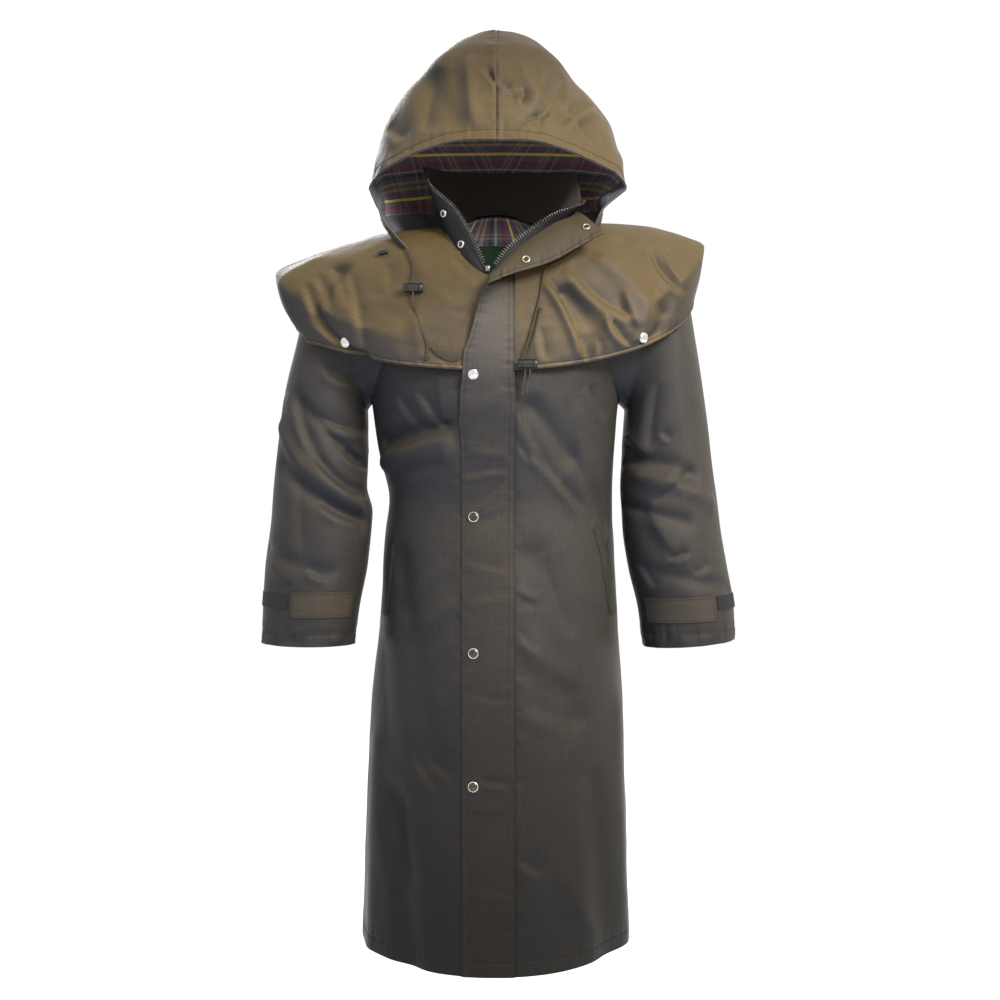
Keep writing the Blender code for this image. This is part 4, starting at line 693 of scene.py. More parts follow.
# Small cloth pieces
CUFF_STITCH_ROW = 6
WELT_RISE = 0.0012
WELT_BULGE = 0.0016
WELT_UNDER = 0.0002
TAB_UNDER = 0.0001
BINDING_ROW = 4
BINDING_CLOTH = 0.0004
BINDING_STITCH = 0.0015
LEAST_CUT_SHARE = 0.31
BAR_TOP = 0.6
BAR_TAPER = 0.12
THREAD_SINK = 0.25

# Edges sharper than these angles are not smoothed
SHARP_CLOTH = 50
SHARP_METAL = 38
SHARP_SLIDER = 35

# Weaves and reliefs of the finishes
BLOTCH_SIZE = 0.110
BLOTCH_SHARE = 0.24
SLUB_SIZE = 0.0022
SLUB_STRETCH = 0.06
SLUB_SHADES = (0.60, 1.40, 0.86, 1.13)
SLUB_RELIEF = 0.07
WRINKLE_SIZE = 0.022
WRINKLE_DETAIL = 4.0
WRINKLE_RELIEF = 0.6
CLOTH_WEAVE = 0.0011
WEAVE_RELIEF = 0.06
CLOTH_BUMP = (0.0016, 0.55)
NOISE_MIDDLE = (0.3, 0.7)
FINE_DETAIL = 3.0
CLOTH_ROUGHENING = (-0.05, 0.06)
METAL_ROUGHENING = (-0.06, 0.10)
TAPE_BUMP = (0.0003, 0.6)
BLOOM_SIZE = 0.006
SCRATCH_SIZE = 0.004
SCRATCH_STRETCH = (1.0, 1.0, 12.0)
SCRATCH_BUMP = (0.0001, 0.3)
LINING_FUZZ = 0.0016
LINING_BUMP = (0.0004, 0.6)
TWILL_RELIEF = 0.3
RIB_FUZZ = 0.003
RIB_SHADES = (-0.8, 0.9)
RIB_RELIEF = 0.5
RIB_BUMP = (0.0006, 0.7)
PILE_SIZE = 0.0016
PILE_DETAIL = 4.0
PILE_BUMP = (0.0008, 0.9)
BRAID_BUMP = (0.0003, 0.8)
PLASTIC_GRAIN = 0.0012
PLASTIC_ROUGHNESS = (0.30, 0.46)
PLASTIC_BUMP = (0.0001, 0.5)
THREAD_TWIST = 0.0008
FLOOR_MOTTLE = 0.5
TWILL_PITCH = 0.0016
TWILL_SHARES = (-0.2, 0.2, 0.22, 0.46)
RIB_PITCH = 0.0024
BRAID_PITCH = 0.0028
BRAID_STRANDS = 4

# Hard pieces: shares of a radius, with heights or distances from the end
STUD_STEPS = 48
STUD_CAP = (
    (0.86, 0.0), (0.97, 0.0002), (1.0, 0.0008), (0.99, 0.0014), (0.93, 0.0018), (0.86, 0.0017),
    (0.82, 0.0015), (0.74, 0.0020), (0.58, 0.0025), (0.38, 0.0028), (0.16, 0.0030), (0.03, 0.0030),
)
SOCKET_RING = (
    (0.92, 0.0), (1.0, 0.0005), (0.99, 0.0012), (0.92, 0.0019), (0.78, 0.0023), (0.62, 0.0022),
    (0.50, 0.0017), (0.46, 0.0010), (0.30, 0.0009), (0.26, 0.0013), (0.10, 0.0014), (0.02, 0.0014),
)
TOGGLE_STEPS = 40
TOGGLE_END = (
    (0.70, 0.0), (0.90, 0.0006), (1.0, 0.002), (1.0, 0.0055), (0.90, 0.0060), (0.90, 0.0072), (0.98, 0.0078),
)
TOGGLE_HOLE = ((0.64, 0.0), (0.60, 0.0012), (0.10, 0.0012))
BEAD_STEPS = 32
BEAD_FIT = 0.9
BEAD_AXIS = (1, 0, 0.25)
BEAD_PROFILE = (
    (0.30, -1.0), (0.80, -0.92), (1.0, -0.70), (0.98, -0.30), (0.90, 0.0), (0.98, 0.30), (1.0, 0.70),
    (0.80, 0.92), (0.30, 1.0), (0.05, 0.98),
)
SQUARELY = 0.9
SLIDER_ROUNDING = 0.0010
SLIDER_FACE = 1e-5
SLIDER_INSET = 0.0016
SLIDER_BRIDGE = 0.0010
SLIDER_TAPER = (0.75, 1.0, 0.9)
TOOTH_TAPER = (0.6, 1.0, 0.7)
TUBE_SIDE = (0.31, 0.91, 0.28)
TUBE_END = 0.6
KNOT_STEPS = 60
KNOT_DEPTH = 1.1
KNOT_STRAND = 0.40


# Curves and surfaces


def smooth(stations, values, at):
    """Reads a curve without overshoot, through values at rising stations, at the given places.

    Values are a table (station, column) or arrays over the places (station, place..., column).
    """
    at = np.asarray(at, float)
    stations = np.asarray(stations, float)
    values = np.asarray(values, float)
    if values.ndim == 2:
        values = values.reshape(len(stations), *([1] * at.ndim), -1)
    values = np.broadcast_to(values, (len(stations), *at.shape, values.shape[-1]))
    rise = np.diff(values, axis=0) / np.diff(stations).reshape(-1, *([1] * (values.ndim - 1)))
    before, after = rise[:-1], rise[1:]
    agree = before * after > 0
    mean = 2 * before * after / np.where(agree, before + after, 1.0)
    slope = np.concatenate([rise[:1], np.where(agree, mean, 0.0), rise[-1:]])
    start = np.clip(np.searchsorted(stations, at, side="right") - 1, 0, len(stations) - 2)
    span = (stations[start + 1] - stations[start])[..., None]
    part = np.clip((at - stations[start])[..., None] / span, 0, 1)

    def pick(table, index):
        return np.take_along_axis(table, index[None, ..., None], axis=0)[0]

    first, last = pick(values, start), pick(values, start + 1)
    leave, arrive = pick(slope, start) * span, pick(slope, start + 1) * span
    turn = part * part * (3 - 2 * part)
    out = part * (1 - part) ** 2
    back = part * part * (part - 1)
    return first + (last - first) * turn + leave * out + arrive * back


def ease(low, high, value):
    """Rises smoothly from 0 at low to 1 at high."""
    part = np.clip((np.asarray(value, float) - low) / (high - low), 0, 1)
    return part * part * (3 - 2 * part)


def run_of(points):
    """Distance of each point of a line from its first one, along the line."""
    steps = np.linalg.norm(np.diff(points, axis=0), axis=1)
    return np.concatenate([[0.0], np.cumsum(steps)])


def levels_of(rings):
    """Each ring's share of the way up the side."""
    run = run_of([(ring.left, ring.left_z) for ring in rings])
    return run / run[-1]


def level_of(rings, name):
    return float(levels_of(rings)[[ring.name for ring in rings].index(name)])


def on_rings(rings, squareness, angle, level):
    """Points through the rings, by angle in degrees (0 front, 90 wearer's left) and level."""
    angle, level = np.broadcast_arrays(np.asarray(angle, float), np.asarray(level, float))
    columns = smooth(levels_of(rings), [ring[1:] for ring in rings], level)
    right, right_z, left, left_z, front, front_z, back, back_z, fall = np.moveaxis(columns, -1, 0)
    sine, cosine = np.sin(np.radians(angle)), np.cos(np.radians(angle))
    is_left, is_front = sine >= 0, cosine >= 0
    side_z = np.where(is_left, left_z, right_z)
    end_z = np.where(is_front, front_z, back_z)
    share = np.abs(cosine) ** np.where(is_front, fall, 2.0)
    x = np.where(is_left, left, -right) * np.abs(sine) ** squareness
    y = np.where(is_front, front, back) * np.abs(cosine) ** squareness
    return np.stack([x, y, side_z + (end_z - side_z) * share], axis=-1)


def unit(vectors):
    return vectors / np.linalg.norm(vectors, axis=-1, keepdims=True)


def outward(surface, across, along, steps):
    """Unit normals of a surface, from small steps across and along it."""
    step_across, step_along = steps
    sideways = surface(across + step_across, along) - surface(across - step_across, along)
    upward = surface(across, along + step_along) - surface(across, along - step_along)
    return unit(np.cross(sideways, upward))


def fold_height(folds, chart, across, along):
    """Height of the ridges and valleys at places on a chart of the given scale."""
    height = np.zeros(np.broadcast(across, along).shape)
    scale = np.array(chart)
    places = np.stack(np.broadcast_arrays(across, along), axis=-1) * scale
    for fold in folds:
        start = np.array([fold.across, fold.along]) * scale
        line = np.array([fold.to_across, fold.to_along]) * scale - start
        part = np.clip((places - start) @ line / (line @ line), 0, 1)
        away = np.linalg.norm(places - start - part[..., None] * line, axis=-1)
        height += fold.depth * np.exp(-((away / fold.width) ** 2))
    return height


def folded(base, folds, chart, across, along, steps):
    """A base surface moved along its normals by its folds."""
    across, along = np.broadcast_arrays(np.asarray(across, float), np.clip(along, 0.0, 1.0))
    height = fold_height(folds, chart, across, along)
    return base(across, along) + outward(base, across, along, steps) * height[..., None]


def degrees_chart(chart):
    """A chart's scale with its first side given per degree."""
    return (math.radians(chart[0]), chart[1])


def trunk_base(angle, level):
    return on_rings(TRUNK, TRUNK_SQUARENESS, angle, level)


def turned_from_front(angle):
    """The same angle between -90 and 270, the range that the fold tables use."""
    return (np.asarray(angle, float) + 90.0) % 360.0 - 90.0


def trunk(angle, level):
    chart = degrees_chart(TRUNK_CHART)
    return folded(trunk_base, TRUNK_FOLDS, chart, turned_from_front(angle), level, ANGLE_STEPS)


def cape_base(angle, level):
    return on_rings(CAPE, CAPE_SQUARENESS, angle, level)


def cape(angle, level):
    chart = degrees_chart(CAPE_CHART)
    return folded(cape_base, CAPE_FOLDS, chart, turned_from_front(angle), level, ANGLE_STEPS)


def front_angle(rings, squareness, x, level):
    """The angle at which the front of a ring reaches x."""
    columns = smooth(levels_of(rings), [(ring.left, ring.right) for ring in rings], level)
    half = np.where(x >= 0, columns[..., 0], columns[..., 1])
    return np.sign(x) * np.degrees(np.arcsin((np.abs(x) / half) ** (1 / squareness)))


def armhole_place(turn, shrink=0.0):
    """Angle and level on the left armhole: turn 0 at the shoulder, 90 in front, 180 at the armpit."""
    low, high = level_of(TRUNK, "armpit"), level_of(TRUNK, "shoulder")
    radians = np.radians(turn)
    half_level = (high - low) / 2 - shrink / TRUNK_CHART[1]
    half_angle = ARMHOLE_OPEN - math.degrees(shrink / TRUNK_CHART[0])
    return 90 - half_angle * np.sin(radians), (low + high) / 2 + half_level * np.cos(radians)


def sleeve_base(cuffs, side, turn, along):
    """A sleeve with its X made positive, by turn round it in degrees and share of its length."""
    turn, along = np.broadcast_arrays(np.asarray(turn, float), np.asarray(along, float))
    angle, level = armhole_place(turn, ARMHOLE_CLEAR)
    lift = outward(trunk_base, side * angle, level, ANGLE_STEPS) * ARMHOLE_CLEAR
    loop = (trunk_base(side * angle, level) + lift) * (side, 1, 1)
    cosine, sine = np.cos(np.radians(turn))[..., None], np.sin(np.radians(turn))[..., None]
    loops, centres = [loop], [np.array(ARMHOLE_CENTRE)]
    for cuff in cuffs:
        outer = np.array([cuff.outer_x, cuff.middle_y, cuff.outer_z])
        inner = np.array([cuff.inner_x, cuff.middle_y, cuff.inner_z])
        forward = np.array([0.0, -cuff.half_depth, 0.0])
        loops.append((outer + inner) / 2 + (outer - inner) / 2 * cosine + forward * sine)
        centres.append((outer + inner) / 2)
    run = run_of(centres)
    return smooth(run / run[-1], np.stack(loops), along)


def sleeve(side, turn, along):
    """A folded sleeve with its X made positive."""
    cuffs, folds = (SLEEVE_LEFT, SLEEVE_FOLDS_LEFT) if side > 0 else (SLEEVE_RIGHT, SLEEVE_FOLDS_RIGHT)

    def base(base_turn, base_along):
        return sleeve_base(cuffs, side, base_turn, base_along)

    return folded(base, folds, degrees_chart(SLEEVE_CHART), turn, along, ANGLE_STEPS)


def hood_seat(along, side):
    """Where the hood's neck edge rests on the cape, with its X made positive."""
    share = np.asarray(along, float)
    angle, level, lift = (
        first + (last - first) * part
        for (first, last), part in (
            (HOOD_SEAT_ANGLES, share),
            (HOOD_SEAT_LEVELS, ease(0.0, HOOD_LEVEL_SETTLES, share)),
            (HOOD_SEAT_LIFTS, ease(0.0, HOOD_LIFT_SETTLES, share)),
        )
    )
    normals = outward(cape, side * angle, level, ANGLE_STEPS)
    return (cape(side * angle, level) + normals * lift[..., None]) * (side, 1, 1)


def hood_base(side, down, along):
    """Half the hood with its X made positive: down from the top seam, along from face to back."""
    down, along = np.broadcast_arrays(np.asarray(down, float), np.asarray(along, float))
    rows = [row.down for row in HOOD]
    lines = [smooth(rows, [row[2 + k] for row in HOOD], down) for k in range(len(HOOD_STATIONS))]
    points = smooth(HOOD_STATIONS, np.stack(lines), along)
    if side > 0:
        places, wider = zip(*HOOD_LEFT_WIDER)
        points[..., 0] *= 1 + smooth(places, np.array(wider)[:, None], down)[..., 0]
    last = np.ones_like(along)
    ends = [smooth(rows, [row[2 + k] for row in HOOD], last) for k in range(len(HOOD_STATIONS))]
    neck = smooth(HOOD_STATIONS, np.stack(ends), along)
    share = ease(HOOD_SEAT_FROM, 1.0, down)
    return points + (hood_seat(along, side) - neck) * share[..., None]


def hood(side, down, along):
    """Half the hood with its folds, and its X made positive."""

    def base(base_down, base_along):
        return hood_base(side, base_down, base_along)

    down, along = np.clip(down, 0.0, 1.0), np.clip(along, 0.0, 1.0)
    height = fold_height(HOOD_FOLDS, HOOD_CHART, along, down)
    points = base(down, along) + outward(base, down, along, SHARE_STEPS) * height[..., None]
    points[..., 0] = np.where(np.asarray(down) <= 0, 0.0, np.maximum(points[..., 0], 0.0))
    return points


def collar(angle, height):
    """The collar by angle and share of its height, from the neck seam to the zip or top edge."""
    angle, height = np.broadcast_arrays(np.asarray(angle, float), np.asarray(height, float))
    seam = trunk_base(angle, np.ones_like(angle)) + (0, 0, COLLAR_LIFT)
    edge = smooth([row.angle for row in COLLAR], [row[2:] for row in COLLAR], angle)
    return seam + (edge - seam) * height[..., None]


def collar_top(angle):
    """The share of the collar's height where its cloth ends and the zip tape begins."""
    tall = np.linalg.norm(collar(angle, 1.0) - collar(angle, 0.0), axis=-1)
    return 1 - TAPE_WIDTH / tall


def mirrored(grid):
    """A grid on the other side of the coat, still facing out."""
    return grid[:, ::-1] * (-1, 1, 1)


def tree_of(made):
    points = [vert.co for vert in made.data.vertices]
    return BVHTree.FromPolygons(points, [tuple(face.vertices) for face in made.data.polygons])


def front_hit(made, x, z):
    """The frontmost point of an object at x and z, and its normal; None where it has none."""
    place, normal, _, _ = tree_of(made).ray_cast(Vector((x, RAY_START_Y, z)), Vector((0, 1, 0)))
    return (None, None) if place is None else (np.array(place), np.array(normal))


def armhole_opening(level):
    """Half the armhole's angle at a level."""
    low, high = level_of(TRUNK, "armpit"), level_of(TRUNK, "shoulder")
    part = (level - (low + high) / 2) / ((high - low) / 2)
    return ARMHOLE_OPEN * np.sqrt(np.clip(1 - part * part, 0, None))


def route_on(made, points, start):
    """A cord's route: from its start, along an object's front, then hanging straight."""
    places = [] if start is None else [start]
    depth = None
    for x, z, lift in points:
        place, _ = front_hit(made, x, z)
        depth = depth if place is None else place[1] - lift
        places.append(np.array([x, depth, z]))
    stations = run_of(places)
    count = math.ceil(stations[-1] / CORD_STEP) + 1
    return smooth(stations, np.array(places), np.linspace(0, stations[-1], count))


# Cloth forms


def crease_height(creases, x, z):
    """Height of the creases at places seen from the front."""
    height = np.zeros(np.shape(x))
    for crease in creases:
        run_x, run_z = crease.to_x - crease.x, crease.to_z - crease.z
        length = math.hypot(run_x, run_z)
        along = ((x - crease.x) * run_x + (z - crease.z) * run_z) / length**2
        part = np.clip(along, 0, 1)
        side = ((x - crease.x) * run_z - (z - crease.z) * run_x) / length
        side = side - crease.bow * 4 * part * (1 - part)
        past = (along - part) * length
        fade = (1 - (2 * part - 1) ** 4) * np.exp(-((past / crease.width) ** 2))
        off = side / (crease.width * np.where(side > 0, CREASE_STEEP, CREASE_GENTLE))
        trough = np.exp(-(np.abs(off) ** CREASE_SHARPNESS))
        ridge = np.exp(-((side / crease.width - CREASE_LIP_PLACE) ** 2))
        height += crease.depth * fade * (trough - crease.lip * ridge)
    return height


def unevenness(across, along, size, seed):
    """Smooth noise between -1 and 1, with bumps of about a size."""
    table = np.random.default_rng(seed).uniform(-1, 1, (NOISE_CELLS, NOISE_CELLS))
    u, v = np.broadcast_arrays(across / size, along / size)
    left, low = np.floor(u).astype(int), np.floor(v).astype(int)
    share_u, share_v = ease(0, 1, u - left), ease(0, 1, v - low)
    steps = [(i, j) for i in (0, 1) for j in (0, 1)]
    corners = [table[(left + i) % NOISE_CELLS, (low + j) % NOISE_CELLS] for i, j in steps]
    first = corners[0] * (1 - share_v) + corners[1] * share_v
    last = corners[2] * (1 - share_v) + corners[3] * share_v
    return first * (1 - share_u) + last * share_u


def bumps(across, along, kind, seed):
    """Slight unevenness of a kind."""
    return kind.height * unevenness(across, along, kind.size, seed)


def groove(distance, kind):
    """The sunk line of a seam, by distance from it."""
    return -kind.depth * np.exp(-((distance / kind.reach) ** 2))


def pucker(distance, run, gather, seed):
    """Small uneven gathers beside a sewn edge, by distance from it and place along it."""
    draws = np.random.default_rng(seed)
    waves = np.zeros(np.broadcast(distance, run).shape)
    for length in GATHER_WAVES:
        waves = waves + np.sin(2 * math.pi * (run / length + draws.uniform()))
    strength = GATHER_MEAN + GATHER_CHANGE * unevenness(run, 0.0 * run, GATHER_PATCH, seed)
    return gather.height * np.exp(-((distance / gather.reach) ** 2)) * waves / 2 * strength


def grid_normals(grid, closed=False):
    """Unit normals from a grid's own points."""
    if closed:
        across = np.roll(grid, -1, axis=1) - np.roll(grid, 1, axis=1)
    else:
        across = np.gradient(grid, axis=1)
    return unit(np.cross(across, np.gradient(grid, axis=0)))


def raised(grid, height, closed=False):
    """A grid moved out along its normals."""
    return grid + grid_normals(grid, closed) * height[..., None]


def calm(points, nodes):
    """0 at the studs and 1 away from them, so that the cloth lies flat under each."""
    share = np.ones(points.shape[:-1])
    for node in nodes:
        low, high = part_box(node)
        distance = np.linalg.norm(points - np.array((low + high) / 2), axis=-1)
        share = share * ease(STUD_RADIUS * STUD_FLAT_FROM, STUD_RADIUS * STUD_FLAT_TO, distance)
    return share


def lengths(grid, axis):
    """Distance of each point of a grid from its first row or column, along the grid."""
    steps = np.linalg.norm(np.diff(grid, axis=axis), axis=-1)
    pad = [(0, 0), (0, 0)]
    pad[axis] = (1, 0)
    return np.pad(np.cumsum(steps, axis=axis), pad)


def wall(name, outer, inner, chart, closed=False):
    """A closed thin wall between two grids, with its cloth chart as the UV map."""
    rows, columns = outer.shape[:2]
    spans = columns if closed else columns - 1
    index = np.arange(rows * columns).reshape(rows, columns)
    after = np.roll(index, -1, axis=1)[:, :spans]
    index = index[:, :spans] if closed else index
    before = index[:, :spans]
    marks = np.arange(chart.shape[0] * chart.shape[1]).reshape(chart.shape[:2])
    mark_before, mark_after = marks[:, :spans], marks[:, 1 : spans + 1]
    inside = rows * columns

    def quads(*corners):
        return np.stack(corners, axis=-1).reshape(-1, 4)

    front = quads(before[:-1], after[:-1], after[1:], before[1:])
    front_marks = quads(mark_before[:-1], mark_after[:-1], mark_after[1:], mark_before[1:])
    faces = [front, front[:, ::-1] + inside]
    corners = [front_marks, front_marks[:, ::-1]]
    faces.append(quads(after[0], before[0], before[0] + inside, after[0] + inside))
    corners.append(quads(mark_after[0], mark_before[0], mark_before[0], mark_after[0]))
    faces.append(quads(before[-1], after[-1], after[-1] + inside, before[-1] + inside))
    corners.append(quads(mark_before[-1], mark_after[-1], mark_after[-1], mark_before[-1]))
    if not closed:
        low, high = index[:-1, 0], index[1:, 0]
        faces.append(quads(low, high, high + inside, low + inside))
        corners.append(quads(marks[:-1, 0], marks[1:, 0], marks[1:, 0], marks[:-1, 0]))
        low, high = index[:-1, -1], index[1:, -1]
        faces.append(quads(high, low, low + inside, high + inside))
        corners.append(quads(marks[1:, -1], marks[:-1, -1], marks[:-1, -1], marks[1:, -1]))
    points = np.concatenate([outer.reshape(-1, 3), inner.reshape(-1, 3)])
    uvs = chart.reshape(-1, 2)[np.concatenate(corners).ravel()]
    return mesh_piece(name, points, np.concatenate(faces), uvs)


def mesh_piece(name, points, faces, uvs=None):
    """A smooth-shaded object from points, faces and the UV of each face corner."""
    mesh = bpy.data.meshes.new(name)
    mesh.from_pydata(np.asarray(points).tolist(), [], np.asarray(faces).tolist())
    if uvs is not None:
        layer = mesh.uv_layers.new(name="cloth")
        layer.data.foreach_set("uv", np.asarray(uvs, np.float32).ravel())
    mesh.shade_smooth()
    mesh.set_sharp_from_angle(angle=math.radians(SHARP_CLOTH))
    made = bpy.data.objects.new(name, mesh)
    bpy.context.scene.collection.objects.link(made)
    return made


def shell(name, outer, cloth, chart, closed=False):
    """A thin wall of cloth inside a grid."""
    return wall(name, outer, outer - grid_normals(outer, closed) * cloth, chart, closed)


def dressed(piece, finish, slot, *nodes):
    """A piece with its finish, riding on the coat and standing for its solids."""
    piece.data.materials.append(finish)
    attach(piece, "root")
    if nodes:
        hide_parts(*nodes)
    return piece


def inset_line(grid, distance):
    """The line on a grid at a distance from its first row, with its normals."""
    normals = grid_normals(grid)
    run = lengths(grid, 0)
    row = np.clip((run < distance).sum(axis=0) - 1, 0, len(grid) - 2)
    column = np.arange(grid.shape[1])
    share = (distance - run[row, column]) / (run[row + 1, column] - run[row, column])
    share = share[:, None]
    line = grid[row, column] * (1 - share) + grid[row + 1, column] * share
    return line, unit(normals[row, column] * (1 - share) + normals[row + 1, column] * share)


def turned_grid(grid):
    """A grid with its columns as rows, so that its first column is its first row."""
    return grid.transpose(1, 0, 2)


def resampled(line, normals, pitch):
    """Places, directions and normals at an even pitch along a line."""
    run = run_of(line)
    at = np.arange(pitch / 2, run[-1], pitch)

    def read(values, where):
        return np.stack([np.interp(where, run, values[:, k]) for k in range(3)], axis=1)

    ahead, behind = read(line, at + pitch / 2), read(line, at - pitch / 2)
    return read(line, at), unit(ahead - behind), unit(read(normals, at))


def bars(name, places, ahead, up, size, sink):
    """Small bars along a line as one mesh: length ahead, width sideways and height up."""
    long, wide, high = size
    sideways = np.cross(up, ahead)
    corners = []
    for end in (-1, 1):
        for side, top in ((-1, 0), (1, 0), (BAR_TOP, 1), (-BAR_TOP, 1)):
            reach = ahead * end * long * (0.5 - BAR_TAPER * top)
            corners.append(places + reach + sideways * side * wide / 2 + up * (high * top - sink))
    points = np.stack(corners, axis=1).reshape(-1, 3)
    faces = (np.arange(len(places))[:, None, None] * 8 + BAR_FACES).reshape(-1, 4)
    return mesh_piece(name, points, faces)


def stitching(name, lines, finish, slot):
    """Rows of stitches along lines on the cloth, as one piece."""
    runs = [resampled(line, normals, STITCH_PITCH) for line, normals in lines]
    places, ahead, up = (np.concatenate(part) for part in zip(*runs))
    made = bars(name, places, ahead, up, (STITCH_LENGTH, THREAD, THREAD), THREAD * THREAD_SINK)
    return dressed(made, finish, slot)


# Finishes


class Value:
    """A socket's value in a material, with maths by operators."""

    def __init__(self, finish, socket):
        self.finish = finish
        self.socket = socket

    def maths(self, operation, first, second):
        sockets = {0: first, 1: second}
        return self.finish.node("Math", {"operation": operation}, sockets, "Value")

    def __add__(self, other):
        return self.maths("ADD", self, other)

    __radd__ = __add__

    def __mul__(self, other):
        return self.maths("MULTIPLY", self, other)

    __rmul__ = __mul__

    def __sub__(self, other):
        return self.maths("SUBTRACT", self, other)

    def __rsub__(self, other):
        return self.maths("SUBTRACT", other, self)

    def __mod__(self, other):
        return self.maths("FLOORED_MODULO", self, other)

    def __lt__(self, other):
        return self.maths("LESS_THAN", self, other)


class Finish:
    """A node material built from plain calls."""

    def __init__(self, name):
        self.material = bpy.data.materials.new(name)
        self.material.use_nodes = True
        self.tree = self.material.node_tree
        self.shader = self.tree.nodes["Principled BSDF"]

    def node(self, kind, settings, sockets, output):
        """Adds a shader node, sets it, fills its sockets and returns one of its outputs."""
        made = self.tree.nodes.new("ShaderNode" + kind)
        for key, value in settings.items():
            setattr(made, key, value)
        for key, value in sockets.items():
            self.fill(made.inputs[key], value)
        return Value(self, made.outputs[output])

    def fill(self, socket, value):
        if isinstance(value, Value):
            self.tree.links.new(value.socket, socket)
        else:
            socket.default_value = value

    def set(self, **values):
        """Sets the shader's own sockets, named with underscores."""
        for key, value in values.items():
            self.fill(self.shader.inputs[key.replace("_", " ")], value)
        return self

    def chart(self):
        """The cloth's own chart, in metres."""
        return self.node("UVMap", {"uv_map": "cloth"}, {}, "UV")

    def place(self):
        return self.node("TexCoord", {}, {}, "Object")

    def parts(self, vector):
        return [self.node("SeparateXYZ", {}, {0: vector}, axis) for axis in "XYZ"]

    def scaled(self, vector, scale):
        return self.node("Mapping", {}, {"Vector": vector, "Scale": scale}, "Vector")

    def noise(self, vector, size, detail=2.0):
        sockets = {"Vector": vector, "Scale": 1 / size, "Detail": detail}
        return self.node("TexNoise", {}, sockets, "Fac")

    def between(self, value, low, high, first=0.0, last=1.0):
        sockets = {0: value, 1: low, 2: high, 3: first, 4: last}
        return self.node("MapRange", {"interpolation_type": "SMOOTHSTEP"}, sockets, 0)

    def mix(self, share, first, last):
        sockets = {0: share, 6: first, 7: last}
        return self.node("Mix", {"data_type": "RGBA"}, sockets, 2)

    def sine(self, value):
        return self.node("Math", {"operation": "SINE"}, {0: value}, "Value")

    def bump(self, height, distance, strength=1.0):
        sockets = {"Height": height, "Distance": distance, "Strength": strength}
        return self.node("Bump", {}, sockets, "Normal")


def rgb(red, green, blue):
    """A colour's linear values from its usual 0 to 255 ones."""
    shares = [level / 255 for level in (red, green, blue)]
    dark = [share / 12.92 for share in shares]
    light = [((share + 0.055) / 1.055) ** 2.4 for share in shares]
    return (*(low if share <= 0.04045 else high for share, low, high in zip(shares, dark, light)), 1.0)


def weave(finish, size):
    """Height of a plain weave: warp and weft threads of a size, over the cloth's chart."""
    across, along, _ = finish.parts(finish.chart())
    warp = finish.sine(across * (2 * math.pi / size))
    weft = finish.sine(along * (2 * math.pi / size))
    return warp * weft


def shot_cloth_with_painted_light(name, warm_lit_colour, cool_shaded_colour, roughness, painted_light_spread, gloss, painted_fades=()):
    """Proofed cloth with a warm thread one way and a cool one the other, so that it shines two colours.

    The two colours are painted light and shade: a slope that faces the axis more is warmer, a painted lit
    side, and one turned away is cooler, a painted shaded side. Each fade gives two heights and the brightness
    at them: painted shade where it darkens and painted light where it brightens.
    """
    finish = Finish(name)
    # Colour painted by facing: slopes towards the axis take the warm, lit colour and slopes away take the
    # cool, shaded one
    normal = finish.node("NewGeometry", {}, {}, "Normal")
    painted_light_lean = finish.node("VectorMath", {"operation": "DOT_PRODUCT"}, {0: normal, 1: PAINTED_LIGHT_AXIS}, "Value")
    _, _, level = finish.parts(finish.place())
    blotch = finish.noise(finish.place(), BLOTCH_SIZE, FINE_DETAIL)
    slub = finish.noise(finish.scaled(finish.chart(), (1.0, SLUB_STRETCH, 1.0)), SLUB_SIZE, FINE_DETAIL)
    weft = finish.noise(finish.scaled(finish.chart(), (SLUB_STRETCH, 1.0, 1.0)), SLUB_SIZE, FINE_DETAIL)
    slub_and_painted_shade = finish.between(slub + weft, *SLUB_SHADES)
    # Painted shade and light by height, over the slub's own tone
    for low, high, first, last in painted_fades:
        slub_and_painted_shade = slub_and_painted_shade * finish.between(level, low, high, first, last)
    colour = finish.mix(finish.between(painted_light_lean + (blotch - 0.5) * BLOTCH_SHARE, *painted_light_spread), cool_shaded_colour, warm_lit_colour)
    slub_and_painted_shade_colour = finish.node("CombineColor", {}, {0: slub_and_painted_shade, 1: slub_and_painted_shade, 2: slub_and_painted_shade}, "Color")
    blend = {"data_type": "RGBA", "blend_type": "MULTIPLY"}
    colour = finish.node("Mix", blend, {0: 1.0, 6: colour, 7: slub_and_painted_shade_colour}, 2)
    wrinkle = finish.noise(finish.place(), WRINKLE_SIZE, WRINKLE_DETAIL)
    threads = weave(finish, CLOTH_WEAVE) * WEAVE_RELIEF
    height = wrinkle * WRINKLE_RELIEF + threads + (slub + weft) * SLUB_RELIEF
    rough = [roughness + change for change in CLOTH_ROUGHENING]
    finish.set(Base_Color=colour, Roughness=finish.between(blotch, *NOISE_MIDDLE, *rough))
    finish.set(Normal=finish.bump(height, *CLOTH_BUMP))
    finish.set(Specular_IOR_Level=gloss)
    return finish.material


# The coat cloth carries painted shade towards the hem
def coat_cloth():
    return shot_cloth_with_painted_light("coat_cloth", rgb(63, 58, 51), rgb(39, 40, 45), 0.42, BODY_PAINTED_LIGHT_SPREAD, 0.11, (HEM_PAINTED_SHADE,))


# The flap's cloth carries painted shade at the hem, painted light up the flap and painted shade at its top
def flap_cloth():
    painted_fades = (HEM_PAINTED_SHADE, FLAP_PAINTED_LIGHT, FLAP_TOP_PAINTED_SHADE)
    return shot_cloth_with_painted_light("flap_cloth", rgb(66, 59, 49), rgb(41, 41, 45), 0.42, BODY_PAINTED_LIGHT_SPREAD, 0.11, painted_fades)


